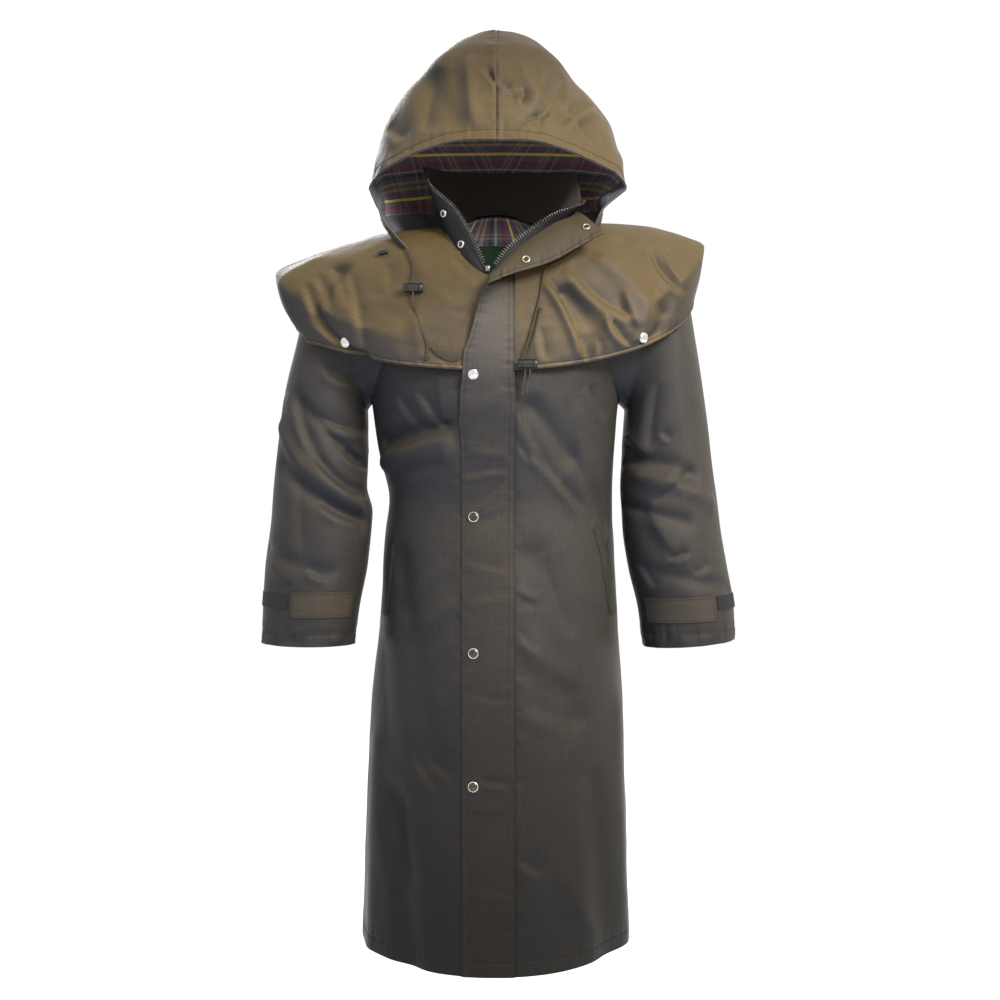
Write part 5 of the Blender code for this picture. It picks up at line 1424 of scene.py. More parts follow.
# The cuff tabs' copy of the coat cloth is lighter: painted light where the tabs catch the lamp
def tab_cloth_painted_lit():
    return shot_cloth_with_painted_light("tab_cloth_painted_lit", rgb(70, 61, 48), rgb(48, 46, 45), 0.48, BODY_PAINTED_LIGHT_SPREAD, 0.10)


def collar_cloth():
    return shot_cloth_with_painted_light("collar_stand_cloth", rgb(48, 44, 40), rgb(32, 32, 35), 0.48, BODY_PAINTED_LIGHT_SPREAD, 0.09)


# The cape and hood cloth carries painted light on the cape's lower part and painted shade at the hood's top
def cape_cloth():
    return shot_cloth_with_painted_light("cape_cloth", rgb(86, 71, 45), rgb(40, 38, 37), 0.40, CAPE_PAINTED_LIGHT_SPREAD, 0.17, CAPE_PAINTED_LIGHT_AND_SHADE)


def lapel_cloth():
    return shot_cloth_with_painted_light("lapel_cloth", rgb(70, 61, 46), rgb(40, 38, 36), 0.44, CAPE_PAINTED_LIGHT_SPREAD, 0.14)


def plain_inside():
    return shot_cloth_with_painted_light("inside_cloth", rgb(100, 100, 104), rgb(84, 88, 97), 0.62, BODY_PAINTED_LIGHT_SPREAD, 0.14)


def stripe(place, start, width, repeat):
    """1 on stripes of a width that start at a place in each repeat."""
    turned = (place - start) % repeat
    return turned < width


def checked_lining():
    """A plain two-way check: dark ground, soft brown bands and fine red and straw lines."""
    finish = Finish("checked_lining")
    across, along, _ = finish.parts(finish.chart())
    ground = rgb(102, 102, 118)
    colour = None
    slant = (across + along) * (2 * math.pi / TWILL_PITCH)
    twill = finish.sine(slant)
    for place in (across, along):
        band = ground
        for start, width, dye in CHECK_STRIPES:
            band = finish.mix(stripe(place, start, width, CHECK_REPEAT), band, rgb(*dye))
        if colour is None:
            colour = band
        else:
            colour = finish.mix(finish.between(twill, *TWILL_SHARES), colour, band)
    start, width, dye = STRAW_STRIPE
    colour = finish.mix(stripe(across, start, width, CHECK_REPEAT), colour, rgb(*dye))
    fuzz = finish.noise(finish.place(), LINING_FUZZ)
    relief = finish.bump(twill * TWILL_RELIEF + fuzz, *LINING_BUMP)
    finish.set(Base_Color=colour, Roughness=0.86, Normal=relief)
    finish.set(Sheen_Weight=0.15, Sheen_Roughness=0.5)
    return finish.material


def corduroy():
    finish = Finish("dark_corduroy")
    across, _, _ = finish.parts(finish.chart())
    rib = finish.sine(across * (2 * math.pi / RIB_PITCH))
    fuzz = finish.noise(finish.place(), RIB_FUZZ, FINE_DETAIL)
    colour = finish.mix(finish.between(rib + (fuzz - 0.5), *RIB_SHADES), rgb(40, 34, 33), rgb(74, 63, 58))
    finish.set(Base_Color=colour, Roughness=0.9, Normal=finish.bump(rib * RIB_RELIEF + fuzz, *RIB_BUMP))
    finish.set(Sheen_Weight=0.08, Sheen_Roughness=0.5, Sheen_Tint=rgb(120, 108, 100))
    return finish.material


def woven_tape(name, pitch, fuzz_size, dark, light, roughness):
    """Narrow woven tape, slightly mottled."""
    finish = Finish(name)
    fuzz = finish.noise(finish.place(), fuzz_size)
    finish.set(Base_Color=finish.mix(fuzz, dark, light), Roughness=roughness)
    finish.set(Normal=finish.bump(weave(finish, pitch), *TAPE_BUMP))
    return finish.material


def label_tape():
    return woven_tape("green_label", 0.0012, 0.004, rgb(26, 52, 36), rgb(44, 76, 50), 0.8)


def zip_cloth():
    return woven_tape("zip_tape", 0.0014, 0.003, rgb(24, 24, 27), rgb(42, 42, 46), 0.82)


def metal(name, bright, dull, roughness):
    """Plated metal with fine scratches and a duller bloom."""
    finish = Finish(name)
    bloom = finish.noise(finish.place(), BLOOM_SIZE, FINE_DETAIL)
    scratch = finish.noise(finish.scaled(finish.place(), SCRATCH_STRETCH), SCRATCH_SIZE, FINE_DETAIL)
    rough = [roughness + change for change in METAL_ROUGHENING]
    finish.set(Base_Color=finish.mix(bloom, dull, bright), Metallic=1.0)
    finish.set(Roughness=finish.between(scratch, *NOISE_MIDDLE, *rough))
    finish.set(Normal=finish.bump(scratch, *SCRATCH_BUMP))
    return finish.material


def loop_pile():
    finish = Finish("loop_pile")
    fuzz = finish.noise(finish.place(), PILE_SIZE, PILE_DETAIL)
    finish.set(Base_Color=finish.mix(fuzz, rgb(10, 10, 11), rgb(31, 30, 30)), Roughness=0.95)
    finish.set(Normal=finish.bump(fuzz, *PILE_BUMP))
    return finish.material


def braided_cord():
    """Cord with strands that wind both ways."""
    finish = Finish("drawcord")
    around, along, _ = finish.parts(finish.chart())
    turns = around * (2 * math.pi * BRAID_STRANDS / (math.pi * CORD_WIDTH))
    rise = along * (2 * math.pi / BRAID_PITCH)
    one = finish.sine(turns + rise)
    other = finish.sine(turns - rise)
    braid = finish.node("Math", {"operation": "MAXIMUM"}, {0: one, 1: other}, "Value")
    colour = finish.mix(finish.between(braid, 0.0, 1.0), rgb(30, 25, 17), rgb(70, 59, 38))
    finish.set(Base_Color=colour, Roughness=0.8, Normal=finish.bump(braid, *BRAID_BUMP))
    return finish.material


def black_plastic():
    finish = Finish("black_plastic")
    grain = finish.noise(finish.place(), PLASTIC_GRAIN, FINE_DETAIL)
    finish.set(Base_Color=finish.mix(grain, rgb(10, 10, 11), rgb(24, 23, 22)))
    finish.set(Roughness=finish.between(grain, *NOISE_MIDDLE, *PLASTIC_ROUGHNESS))
    finish.set(Normal=finish.bump(grain, *PLASTIC_BUMP))
    return finish.material


def thread(name, colour):
    finish = Finish(name)
    twist = finish.noise(finish.place(), THREAD_TWIST)
    finish.set(Base_Color=finish.mix(twist, colour, rgb(24, 21, 18)), Roughness=0.75)
    return finish.material


def pale_floor():
    finish = Finish("pale_floor")
    mottle = finish.noise(finish.place(), FLOOR_MOTTLE)
    finish.set(Base_Color=finish.mix(mottle, rgb(250, 250, 250), rgb(253, 253, 253)), Roughness=0.8)
    return finish.material


# Camera, light and floor


def build_stage():
    scene = bpy.context.scene
    scene.view_settings.view_transform = "Standard"
    camera = bpy.data.objects.new("camera", bpy.data.cameras.new("camera"))
    scene.collection.objects.link(camera)
    camera.location = (AIM[0], -CAMERA_DISTANCE, CAMERA_HEIGHT)
    camera.rotation_euler = (Vector(AIM) - camera.location).to_track_quat("-Z", "Y").to_euler()
    camera.data.sensor_width = SENSOR
    camera.data.lens = SENSOR * CAMERA_DISTANCE / (PHOTO_METRES_PER_PIXEL * PHOTO_SIDE)
    scene.camera = camera
    world = bpy.data.worlds.new("studio")
    scene.world = world
    world.use_nodes = True
    world.node_tree.nodes["Background"].inputs["Color"].default_value = (1.0, 1.0, 1.0, 1.0)
    world.node_tree.nodes["Background"].inputs["Strength"].default_value = WORLD_STRENGTH
    for name, place, side, power in LAMPS:
        lamp = bpy.data.objects.new(name, bpy.data.lights.new(name, "AREA"))
        lamp.data.shape = "SQUARE"
        lamp.data.size = side
        lamp.data.energy = power
        lamp.location = place
        lamp.rotation_euler = (Vector(LAMP_AIM) - Vector(place)).to_track_quat("-Z", "Y").to_euler()
        scene.collection.objects.link(lamp)
    bpy.ops.object.select_all(action="DESELECT")
    bpy.ops.mesh.primitive_plane_add(size=FLOOR_SIDE, location=(0, 0, FLOOR_HEIGHT))
    floor = bpy.context.object
    floor.name = "floor"
    floor.data.materials.append(pale_floor())


# Cords, toggles and their knots


def tube(name, route, radius, closed=False):
    """A round tube along a route, with its chart as the UV map."""
    route = np.asarray(route)
    if closed:
        ahead = unit(np.roll(route, -1, axis=0) - np.roll(route, 1, axis=0))
    else:
        ahead = unit(np.gradient(route, axis=0))
    sideways = [unit(np.cross(ahead[0], TUBE_SIDE))]
    for step in ahead[1:]:
        sideways.append(unit(sideways[-1] - step * (sideways[-1] @ step)))
    sideways = np.array(sideways)
    upward = np.cross(ahead, sideways)
    turn = np.linspace(0, 2 * math.pi, CORD_SIDES, endpoint=False)
    ring = np.cos(turn)[None, :, None] * sideways[:, None] + np.sin(turn)[None, :, None] * upward[:, None]
    points = route[:, None] + ring * radius
    if closed:
        points = np.concatenate([points, points[:1]])
    rows = len(points)
    if not closed:
        ends = [route[:1] - ahead[:1] * radius * TUBE_END, route[-1:] + ahead[-1:] * radius * TUBE_END]
        points = np.concatenate([np.repeat(ends[0][:, None], CORD_SIDES, 1), points,
                                 np.repeat(ends[1][:, None], CORD_SIDES, 1)])
        rows += 2
    index = np.arange(rows * CORD_SIDES).reshape(rows, CORD_SIDES)
    after = np.roll(index, -1, axis=1)
    faces = np.stack([index[:-1], after[:-1], after[1:], index[1:]], axis=-1).reshape(-1, 4)
    run = np.arange(rows) * CORD_FINE_STEP
    around = np.arange(CORD_SIDES + 1) * 2 * math.pi * radius / CORD_SIDES
    chart = np.stack(np.meshgrid(around, run), axis=-1)
    corners = np.stack([chart[:-1, :-1], chart[:-1, 1:], chart[1:, 1:], chart[1:, :-1]], axis=2)
    return mesh_piece(name, points.reshape(-1, 3), faces, corners.reshape(-1, 2))


def fine_route(route):
    """A cord's route with its points close together."""
    run = run_of(route)
    return smooth(run, route, np.arange(0, run[-1], CORD_FINE_STEP))


def knot(name, place, finish):
    """A small overhand knot."""
    turn = np.linspace(0, 2 * math.pi, KNOT_STEPS, endpoint=False)
    swing = 2 + np.cos(3 * turn)
    depth = np.sin(3 * turn) * KNOT_DEPTH
    path = np.stack([np.cos(2 * turn) * swing, depth, np.sin(2 * turn) * swing], axis=1)
    made = tube(name, np.asarray(place) + path * KNOT_SIZE / 3, CORD_WIDTH * KNOT_STRAND, closed=True)
    return dressed(made, finish, "drawcord")


def build_cords(toggles):
    finish = braided_cord()
    for name, points in CORDS.items():
        side_name, kind = name.split("_")
        side = 1 if side_name == "left" else -1
        corner = hood(side, np.array(1.0), np.array(0.0)) * (side, 1, 1)
        start = corner + (0.0, 0.0, -CORD_START_DROP) if kind == "long" else None
        route = fine_route(route_on(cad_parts[f"cape_front_{side_name}"], points, start))
        cord = tube(f"hood_cord_{name}", route, CORD_WIDTH / 2)
        dressed(cord, finish, "drawcord", f"drawcord_{name}")
        if CORD_ENDS[name] == "knot":
            knot(f"hood_cord_{name}_knot", route[-1], finish)
    top = route_top("left_short")
    knot("hood_cord_left_knot", top, finish)


def route_top(name):
    """Where a cord's own points begin."""
    side_name = name.split("_")[0]
    return route_on(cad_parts[f"cape_front_{side_name}"], CORDS[name], None)[0]


# Studs and other hard pieces, modelled by hand operators


def turned_piece(name, profile, steps=STUD_STEPS):
    """A round piece from (radius, height) steps: a filled circle, extruded and resized at each step."""
    bpy.ops.object.select_all(action="DESELECT")
    radius, height = profile[0]
    bpy.ops.mesh.primitive_circle_add(vertices=steps, radius=radius, fill_type="NGON", location=(0, 0, 0))
    made = bpy.context.object
    made.name = name
    bpy.ops.object.mode_set(mode="EDIT")
    bpy.ops.mesh.select_all(action="SELECT")
    bpy.ops.transform.translate(value=(0, 0, height))
    for next_radius, next_height in profile[1:]:
        bpy.ops.mesh.extrude_region_move(TRANSFORM_OT_translate={"value": (0, 0, next_height - height)})
        share = next_radius / radius
        bpy.ops.transform.resize(value=(share, share, 1.0))
        radius, height = next_radius, next_height
    bpy.ops.mesh.select_all(action="SELECT")
    bpy.ops.mesh.normals_make_consistent(inside=False)
    bpy.ops.object.mode_set(mode="OBJECT")
    made.data.transform(made.matrix_world)
    made.matrix_world = Matrix.Identity(4)
    made.data.shade_smooth()
    made.data.set_sharp_from_angle(angle=math.radians(SHARP_METAL))
    return made


def seat_of(node):
    """Where a round solid sits: the middle of its base, and its outward axis."""
    points = np.array([vert.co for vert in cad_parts[node].data.vertices])
    middle = np.unique(points.round(6), axis=0).mean(axis=0)
    axis = np.linalg.svd(points - middle)[2][-1]
    axis = axis if axis[1] < 0 else -axis
    rise = (points - middle) @ axis
    return middle + axis * rise.min(), axis


def placed(piece, place, axis):
    """Moves a piece's mesh from the origin to a place, its +Z along an axis."""
    turn = Vector((0, 0, 1)).rotation_difference(Vector(axis)).to_matrix().to_4x4()
    piece.data.transform(Matrix.Translation(Vector(place)) @ turn)
    return piece


def copied(piece, name):
    made = bpy.data.objects.new(name, piece.data.copy())
    bpy.context.scene.collection.objects.link(made)
    return made


def two_tone(piece, radius):
    """Gives the faces inside a radius the second finish."""
    for face in piece.data.polygons:
        face.material_index = int(math.hypot(*face.center[:2]) < radius)
    return piece


def profile_of(table, radius):
    """Steps of radius and height from shares of a radius and heights."""
    return [(radius * share, height) for share, height in table]


def build_studs():
    steel = metal("stud_steel", rgb(232, 230, 226), rgb(176, 174, 170), 0.26)
    dark = metal("stud_dark", rgb(104, 92, 78), rgb(46, 40, 35), 0.30)
    brass = metal("socket_brass", rgb(200, 188, 154), rgb(122, 108, 78), 0.30)
    cap, cup = STUD_RADIUS * STUD_CENTRE, SOCKET_RADIUS * SOCKET_CENTRE
    kinds = (
        (("cape_stud_left", "cape_stud_right", "flap_stud_1"), STUD_CAP, STUD_RADIUS, cap, steel, steel),
        (("flap_stud_2", "flap_stud_3", "flap_stud_4"), STUD_CAP, STUD_RADIUS, cap, steel, dark),
        (("collar_stud_high", "collar_stud_low"), SOCKET_RING, COLLAR_STUD_RADIUS, cup, steel, dark),
        (("lapel_socket_low", "lapel_socket_tip"), SOCKET_RING, SOCKET_RADIUS, cup, brass, dark),
    )
    for nodes, table, radius, inside, rim, centre in kinds:
        model = two_tone(turned_piece("stud_model", profile_of(table, radius)), inside)
        for node in nodes:
            made = placed(copied(model, f"{node}_cap"), *seat_of(node))
            dressed(made, rim, "socket_brass" if rim is brass else "stud_steel", node)
            made.data.materials.append(centre)
        bpy.data.objects.remove(model)


def build_toggles():
    """Barrel cord locks with ribbed ends and a pressed middle."""
    finish = black_plastic()
    half, radius = TOGGLE_LENGTH / 2, TOGGLE_RADIUS
    profile = [(radius * share, -half + inside) for share, inside in TOGGLE_END]
    profile += [(radius * share, half - inside) for share, inside in (*TOGGLE_END[::-1], *TOGGLE_HOLE)]
    made = {}
    model = turned_piece("toggle_model", profile, TOGGLE_STEPS)
    for side_name in ("right", "left"):
        low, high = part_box(f"cord_toggle_{side_name}")
        piece = placed(copied(model, f"cord_toggle_{side_name}_barrel"), (low + high) / 2, (1, 0, 0))
        made[side_name] = dressed(piece, finish, "black_plastic", f"cord_toggle_{side_name}")
    bpy.data.objects.remove(model)
    return made


def build_bead():
    """A short dark cord stop with a waist."""
    low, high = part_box("cape_bead")
    half = (high.x - low.x) / 2
    radius = (high.z - low.z) / 2 * BEAD_FIT
    profile = [(radius * share, half * place) for share, place in BEAD_PROFILE]
    made = placed(turned_piece("cape_bead_barrel", profile, BEAD_STEPS), (low + high) / 2, BEAD_AXIS)
    dressed(made, black_plastic(), "black_plastic", "cape_bead")


def bevelled_block(name, size, bevel, segments):
    """A block of a size with its edges bevelled."""
    bpy.ops.object.select_all(action="DESELECT")
    bpy.ops.mesh.primitive_cube_add(size=1, location=(0, 0, 0))
    made = bpy.context.object
    made.name = name
    bpy.ops.object.mode_set(mode="EDIT")
    bpy.ops.mesh.select_all(action="SELECT")
    bpy.ops.transform.resize(value=size)
    bpy.ops.mesh.bevel(offset=bevel, segments=segments, affect="EDGES")
    bpy.ops.object.mode_set(mode="OBJECT")
    return made


def build_slider():
    """The zip's slider: a rounded block with a raised bridge."""
    low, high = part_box("zip_slider")
    made = bevelled_block("zip_slider_body", tuple(high - low), SLIDER_ROUNDING, 3)
    for face in made.data.polygons:
        face.select = face.normal.y < -SQUARELY and face.area > SLIDER_FACE
    bpy.ops.object.mode_set(mode="EDIT")
    bpy.ops.mesh.inset(thickness=SLIDER_INSET)
    bpy.ops.mesh.extrude_region_move(TRANSFORM_OT_translate={"value": (0, -SLIDER_BRIDGE, 0)})
    bpy.ops.transform.resize(value=SLIDER_TAPER)
    bpy.ops.object.mode_set(mode="OBJECT")
    made.data.transform(Matrix.Translation((low + high) / 2))
    made.data.shade_smooth()
    made.data.set_sharp_from_angle(angle=math.radians(SHARP_SLIDER))
    finish = metal("zip_metal", rgb(170, 168, 162), rgb(96, 94, 90), 0.3)
    dressed(made, finish, "stud_steel", "zip_slider")


# Coat


def trunk_rows():
    """Levels of the coat's fine rows: the hem's turn-up, the skirt, the armhole and the yoke."""
    armpit, shoulder = level_of(TRUNK, "armpit"), level_of(TRUNK, "shoulder")
    hem = np.array(HEM_ROWS) / TRUNK_CHART[1]
    skirt = np.linspace(hem[-1], armpit, SKIRT_ROWS + 1)[1:-1]
    _, arm = armhole_place(np.linspace(180, 0, ARMHOLE_ROWS + 1))
    yoke = np.linspace(shoulder, 1, YOKE_ROWS + 1)[1:]
    return np.concatenate([hem, skirt, arm, yoke])


def chart_of(across, along, scale):
    """A cloth chart in metres from angles and shares."""
    across, along = np.broadcast_arrays(across, along)
    return np.stack([np.radians(across) * scale[0], along * scale[1]], axis=-1)


def coat_height(points, angles, levels, creases, seed):
    """Creases, stitched hem and slight unevenness of the coat's cloth."""
    hem = levels * TRUNK_CHART[1]
    run = np.radians(angles) * TRUNK_CHART[0]
    height = crease_height(creases, points[..., 0], points[..., 2])
    height = height + groove(hem - HEM_STITCH, HEM_GROOVE) + pucker(hem - HEM_STITCH, run, HEM_GATHER, seed)
    return height + bumps(run, hem, COAT_BUMPS, seed) + bumps(run, hem, COAT_FINE_BUMPS, seed + 1)


def chest_fill(points):
    """How far the fronts stand forward under the cape's edge, where they hang from it."""
    x, z = points[..., 0], points[..., 2]
    share = ease(CHEST_FILL_FROM, CHEST_FILL_FULL, z) * ease(CAPE_EDGE_HIGH, CAPE_EDGE_LOW, z)
    return CHEST_FILL * share * np.exp(-((x / CHEST_FILL_WIDTH) ** 2))


def build_front(side_name, side, finish):
    """A coat front; what lies under the storm flap is pressed in."""
    levels = trunk_rows()
    edge = FLAP_SEWN_X if side > 0 else FLAP_FREE_X
    columns = np.linspace(ZIP_X, edge, FRONT_NEAR_COLUMNS + 1)
    near = [front_angle(TRUNK, TRUNK_SQUARENESS, np.full_like(levels, x), levels) for x in columns]
    limit = side * (90 - armhole_opening(levels))
    shares = np.arange(1, FRONT_FAR_COLUMNS + 1) / FRONT_FAR_COLUMNS
    far = [near[-1] + (limit - near[-1]) * share for share in shares]
    angles = np.stack(near + far, axis=1)
    angles = angles if side > 0 else angles[:, ::-1]
    rows = np.repeat(levels[:, None], angles.shape[1], axis=1)
    points = trunk(angles, rows)
    outside = (points[..., 0] - edge) * side
    height = coat_height(points, angles, rows, FRONT_CREASES, FRONT_SEED + side)
    height = height * ease(*FRONT_CREASES_BEGIN, outside)
    seam = pucker(np.abs(outside), points[..., 2], FRONT_SEAM_GATHER, FRONT_SEAM_SEED + side)
    height = height + seam * ease(*FRONT_SEAM_BEGIN, outside) - UNDER_FLAP_SINK * ease(*UNDER_FLAP, outside)
    outer = raised(points, height + chest_fill(points))
    chart = chart_of(angles, rows, TRUNK_CHART)
    made = shell(f"coat_front_{side_name}_cloth", outer, COAT_CLOTH, chart)
    dressed(made, finish, "coat_cloth", f"coat_front_{side_name}")
    return made, outer


def build_back(finish):
    levels = trunk_rows()
    opening = armhole_opening(levels)[:, None]
    share = np.linspace(0, 1, BACK_COLUMNS + 1)[None, :]
    angles = (90 + opening) + (180 - 2 * opening) * share
    rows = np.repeat(levels[:, None], BACK_COLUMNS + 1, axis=1)
    points = trunk(angles, rows)
    outer = raised(points, coat_height(points, angles, rows, BACK_CREASES, BACK_SEED))
    made = shell("coat_back_cloth", outer, COAT_CLOTH, chart_of(angles, rows, TRUNK_CHART))
    dressed(made, finish, "coat_cloth", "coat_back")
    return made, outer


def build_flap(finish):
    """The storm flap from the hem to the corner where its top turns back."""
    columns = np.linspace(FLAP_FREE_X, FLAP_SEWN_X, FLAP_FINE_COLUMNS + 1)
    edge = FLAP_TOP[0].free_z
    top_level = np.interp(edge - FLAP_JOIN, trunk(0.0, LEVEL_SCAN)[:, 2], LEVEL_SCAN)
    hem = np.array(HEM_ROWS) / TRUNK_CHART[1]
    levels = np.concatenate([hem, np.linspace(hem[-1], top_level, FLAP_FINE_ROWS)[1:]])
    level_grid = np.repeat(levels[:, None], len(columns), axis=1)
    angles = front_angle(TRUNK, TRUNK_SQUARENESS, np.broadcast_to(columns, level_grid.shape), level_grid)
    low = trunk(angles, level_grid)
    hang = chest_fill(low) + FLAP_HANG * ease(FLAP_HANG_FROM, CHEST_FILL_FULL, low[..., 2])
    low = low + grid_normals(low) * (LAY_GAP + COAT_CLOTH + hang)[..., None]
    share = np.linspace(0, 1, len(columns))
    high = []
    for row in FLAP_TOP:
        x = row.free_x + (row.sewn_x - row.free_x) * share
        z = row.free_z + (row.sewn_z - row.free_z) * share
        level = np.interp(z, [ring.front_z for ring in CAPE], levels_of(CAPE))
        depth = cape_base(front_angle(CAPE, CAPE_SQUARENESS, x, level), level)[:, 1]
        stand_off = row.stand_off * (1 - share) ** 2 + LAY_GAP * 2 + COAT_CLOTH
        high.append(np.stack([x, depth - stand_off, z], axis=1))
    rows = np.concatenate([low, np.stack(high)])
    stations = lengths(rows, 0).mean(axis=1)
    top = np.linspace(stations[len(low) - 1], stations[-1], FLAP_TOP_ROWS)[1:]
    fine = np.concatenate([stations[: len(low)], top])
    points = smooth(stations, rows.reshape(len(rows), -1), fine).reshape(len(fine), len(columns), 3)
    across, along = lengths(points, 1), lengths(points, 0)
    width = across[:, -1:]
    height = crease_height(FLAP_CREASES, points[..., 0], points[..., 2]) * ease(*FLAP_CREASES_BEGIN, across)
    height = height + groove(along - HEM_STITCH, HEM_GROOVE) + bumps(across, along, FLAP_BUMPS, FLAP_SEED)
    height = height + pucker(across - FLAP_EDGE_STITCH, along, FLAP_FREE_GATHER, FLAP_SEED + 1)
    height = height + pucker(width - across - FLAP_EDGE_STITCH, along, FLAP_SEWN_GATHER, FLAP_SEED + 2)
    outer = raised(points, np.maximum(height, FLAP_DEEPEST) * calm(points, FLAP_STUDS))
    made = shell("storm_flap_cloth", outer, COAT_CLOTH, np.stack([across, along], axis=-1))
    dressed(made, finish, "coat_cloth", "storm_flap")
    return made, outer


def build_lapel(finish):
    """The flap's top, turned back so that its inner side shows."""
    angles = np.linspace(LAPEL[0].angle, LAPEL[-1].angle, LAPEL_FINE_COLUMNS + 1)
    free = smooth([row.angle for row in LAPEL], [row[2:] for row in LAPEL], angles)
    height = LAPEL_SEWN_SHARE * collar_top(angles)
    normals = outward(collar, angles, height, SHARE_STEPS)
    sewn = collar(angles, height) + normals * (LAPEL_GAP + COAT_CLOTH)
    share = np.linspace(0, 1, LAPEL_FINE_ROWS + 1)[:, None, None]
    flat = free + (sewn - free) * share
    points = flat + grid_normals(flat) * LAPEL_BOW * np.sin(math.pi * share)
    across, along = lengths(points, 1), lengths(points, 0)
    fold = pucker(along - LAPEL_STITCH, across, LAPEL_GATHER, LAPEL_SEED)
    fold = fold + bumps(across, along, LAPEL_BUMPS, LAPEL_SEED + 1)
    outer = raised(points, fold * calm(points, ("lapel_socket_low", "lapel_socket_tip")))
    made = shell("storm_flap_lapel_cloth", outer, COAT_CLOTH, np.stack([across, along], axis=-1))
    dressed(made, finish, "coat_cloth", "storm_flap_lapel")
    return made, outer


def build_welts(fronts, finish):
    """Pocket welts, laid on the fronts' own cloth."""
    made = {}
    for side_name, front in fronts.items():
        spots = WELTS[side_name]
        side = 1 if side_name == "left" else -1
        tree = tree_of(front)
        z = np.linspace(spots[-1].z, spots[0].z, WELT_FINE_ROWS + 1)
        x = np.interp(z, [spot.z for spot in spots[::-1]], [spot.x for spot in spots[::-1]])
        shares = np.linspace(0, 1, WELT_COLUMNS + 1)
        points = np.zeros((len(z), len(shares), 3))
        for row, (place_x, place_z) in enumerate(zip(x, z)):
            for column, share in enumerate(shares):
                start = Vector((place_x + side * WELT_WIDTH * share, RAY_START_Y, place_z))
                points[row, column] = tree.ray_cast(start, Vector((0, 1, 0)))[0]
        points = points if side > 0 else points[:, ::-1]
        across, along = lengths(points, 1), lengths(points, 0)
        bulge = WELT_RISE + WELT_BULGE * np.sqrt(np.abs(np.sin(math.pi * across / across[:, -1:])))
        outer = raised(points, bulge + pucker(across * 0, along, WELT_GATHER, WELT_SEED + side))
        under = raised(points, np.full_like(bulge, WELT_UNDER))
        piece = wall(f"pocket_welt_{side_name}_cloth", outer, under, np.stack([across, along], axis=-1))
        dressed(piece, finish, "coat_cloth", f"pocket_welt_{side_name}")
        made[side_name] = (piece, outer)
    return made


# Sleeves


def sleeve_cloth(side, turn, along):
    """A creased sleeve on its own side, by turn and share of its length."""
    points = sleeve(side, turn, along)

    def surface(at_turn, at_along):
        return sleeve(side, at_turn, at_along)

    normals = outward(surface, turn, along, ANGLE_STEPS)
    x, z = points[..., 0] * side, points[..., 2]
    here, there = (SLEEVE_LEFT_CREASES, SLEEVE_RIGHT_CREASES)[:: side]
    front = ease(*SLEEVE_FRONT, -normals[..., 1])
    back = ease(*SLEEVE_BACK, normals[..., 1])
    height = crease_height(here, x, z) * front + crease_height(there, -x, z + BACK_CREASE_DROP) * back
    run, down = np.radians(turn) * SLEEVE_CHART[0], along * SLEEVE_CHART[1]
    cuff = (1 - along) * SLEEVE_CHART[1]
    seed = SLEEVE_SEED + side
    crumple = bumps(run, down, CUFF_FINE_CRUMPLE, seed) + bumps(run, down, CUFF_CRUMPLE, seed + 2)
    height = height + CRUMPLE_HEIGHT * crumple * ease(*CRUMPLE_FADE, cuff)
    height = height + pucker(cuff - CUFF_STITCH, run, CUFF_GATHER, seed + 4)
    height = height + groove(cuff - CUFF_STITCH, CUFF_GROOVE)
    height = height + bumps(run, down, SLEEVE_BUMPS, seed + 6) * ease(*SLEEVE_BUMPS_BEGIN, along)
    return points + normals * (height * ease(*SLEEVE_TOP_FADE, along))[..., None]


def build_sleeve(side_name, side, finish, tab_finish, pile):
    turns = np.arange(SLEEVE_COLUMNS) * 360.0 / SLEEVE_COLUMNS
    along = np.linspace(0, 1, SLEEVE_ROWS + 1)
    turn_grid, along_grid = np.meshgrid(turns, along)
    outer = sleeve_cloth(side, turn_grid, along_grid)
    chart = chart_of(*np.meshgrid(np.append(turns, 360.0), along), SLEEVE_CHART)
    if side < 0:
        outer = mirrored(outer)
    made = shell(f"sleeve_{side_name}_cloth", outer, COAT_CLOTH, chart, closed=True)
    dressed(made, finish, "coat_cloth", f"sleeve_{side_name}")
    cuff_line = inset_ring(outer, SLEEVE_ROWS - CUFF_STITCH_ROW)
    tabs = {}
    for kind, table, cloth, look, slot in (
        ("cuff_tab", CUFF_TABS, COAT_CLOTH, tab_finish, "coat_cloth"),
        ("cuff_loop_strip", LOOP_STRIPS, LINING_CLOTH, pile, "loop_pile"),
    ):
        tab = table[side_name]
        grid = np.meshgrid(np.linspace(tab.from_angle, tab.to_angle, TAB_COLUMNS + 1),
                           np.linspace(tab.from_along, tab.to_along, TAB_ROWS + 1))
        base = sleeve_cloth(side, *grid)
        base = mirrored(base) if side < 0 else base
        normals = grid_normals(base)
        across, down = lengths(base, 1), lengths(base, 0)
        rise = LAY_GAP + cloth + bumps(across, down, SMALL_BUMPS, TAB_SEED + side)
        outer_tab = base + normals * rise[..., None]
        chart = np.stack([across, down], axis=-1)
        piece = wall(f"{kind}_{side_name}_cloth", outer_tab, base + normals * TAB_UNDER, chart)
        dressed(piece, look, slot, f"{kind}_{side_name}")
        tabs[kind] = (piece, outer_tab)
    return made, outer, cuff_line, tabs


def inset_ring(grid, row):
    """A whole row of a closed grid as a line, with its normals."""
    normals = grid_normals(grid, closed=True)
    line, up = grid[row], normals[row]
    return np.append(line, line[:1], axis=0), np.append(up, up[:1], axis=0)


# Cape


def cape_rows():
    edge = np.array(CAPE_EDGE_ROWS)
    return np.concatenate([edge, np.linspace(edge[-1], 1, CAPE_ROWS + 1)[1:]])


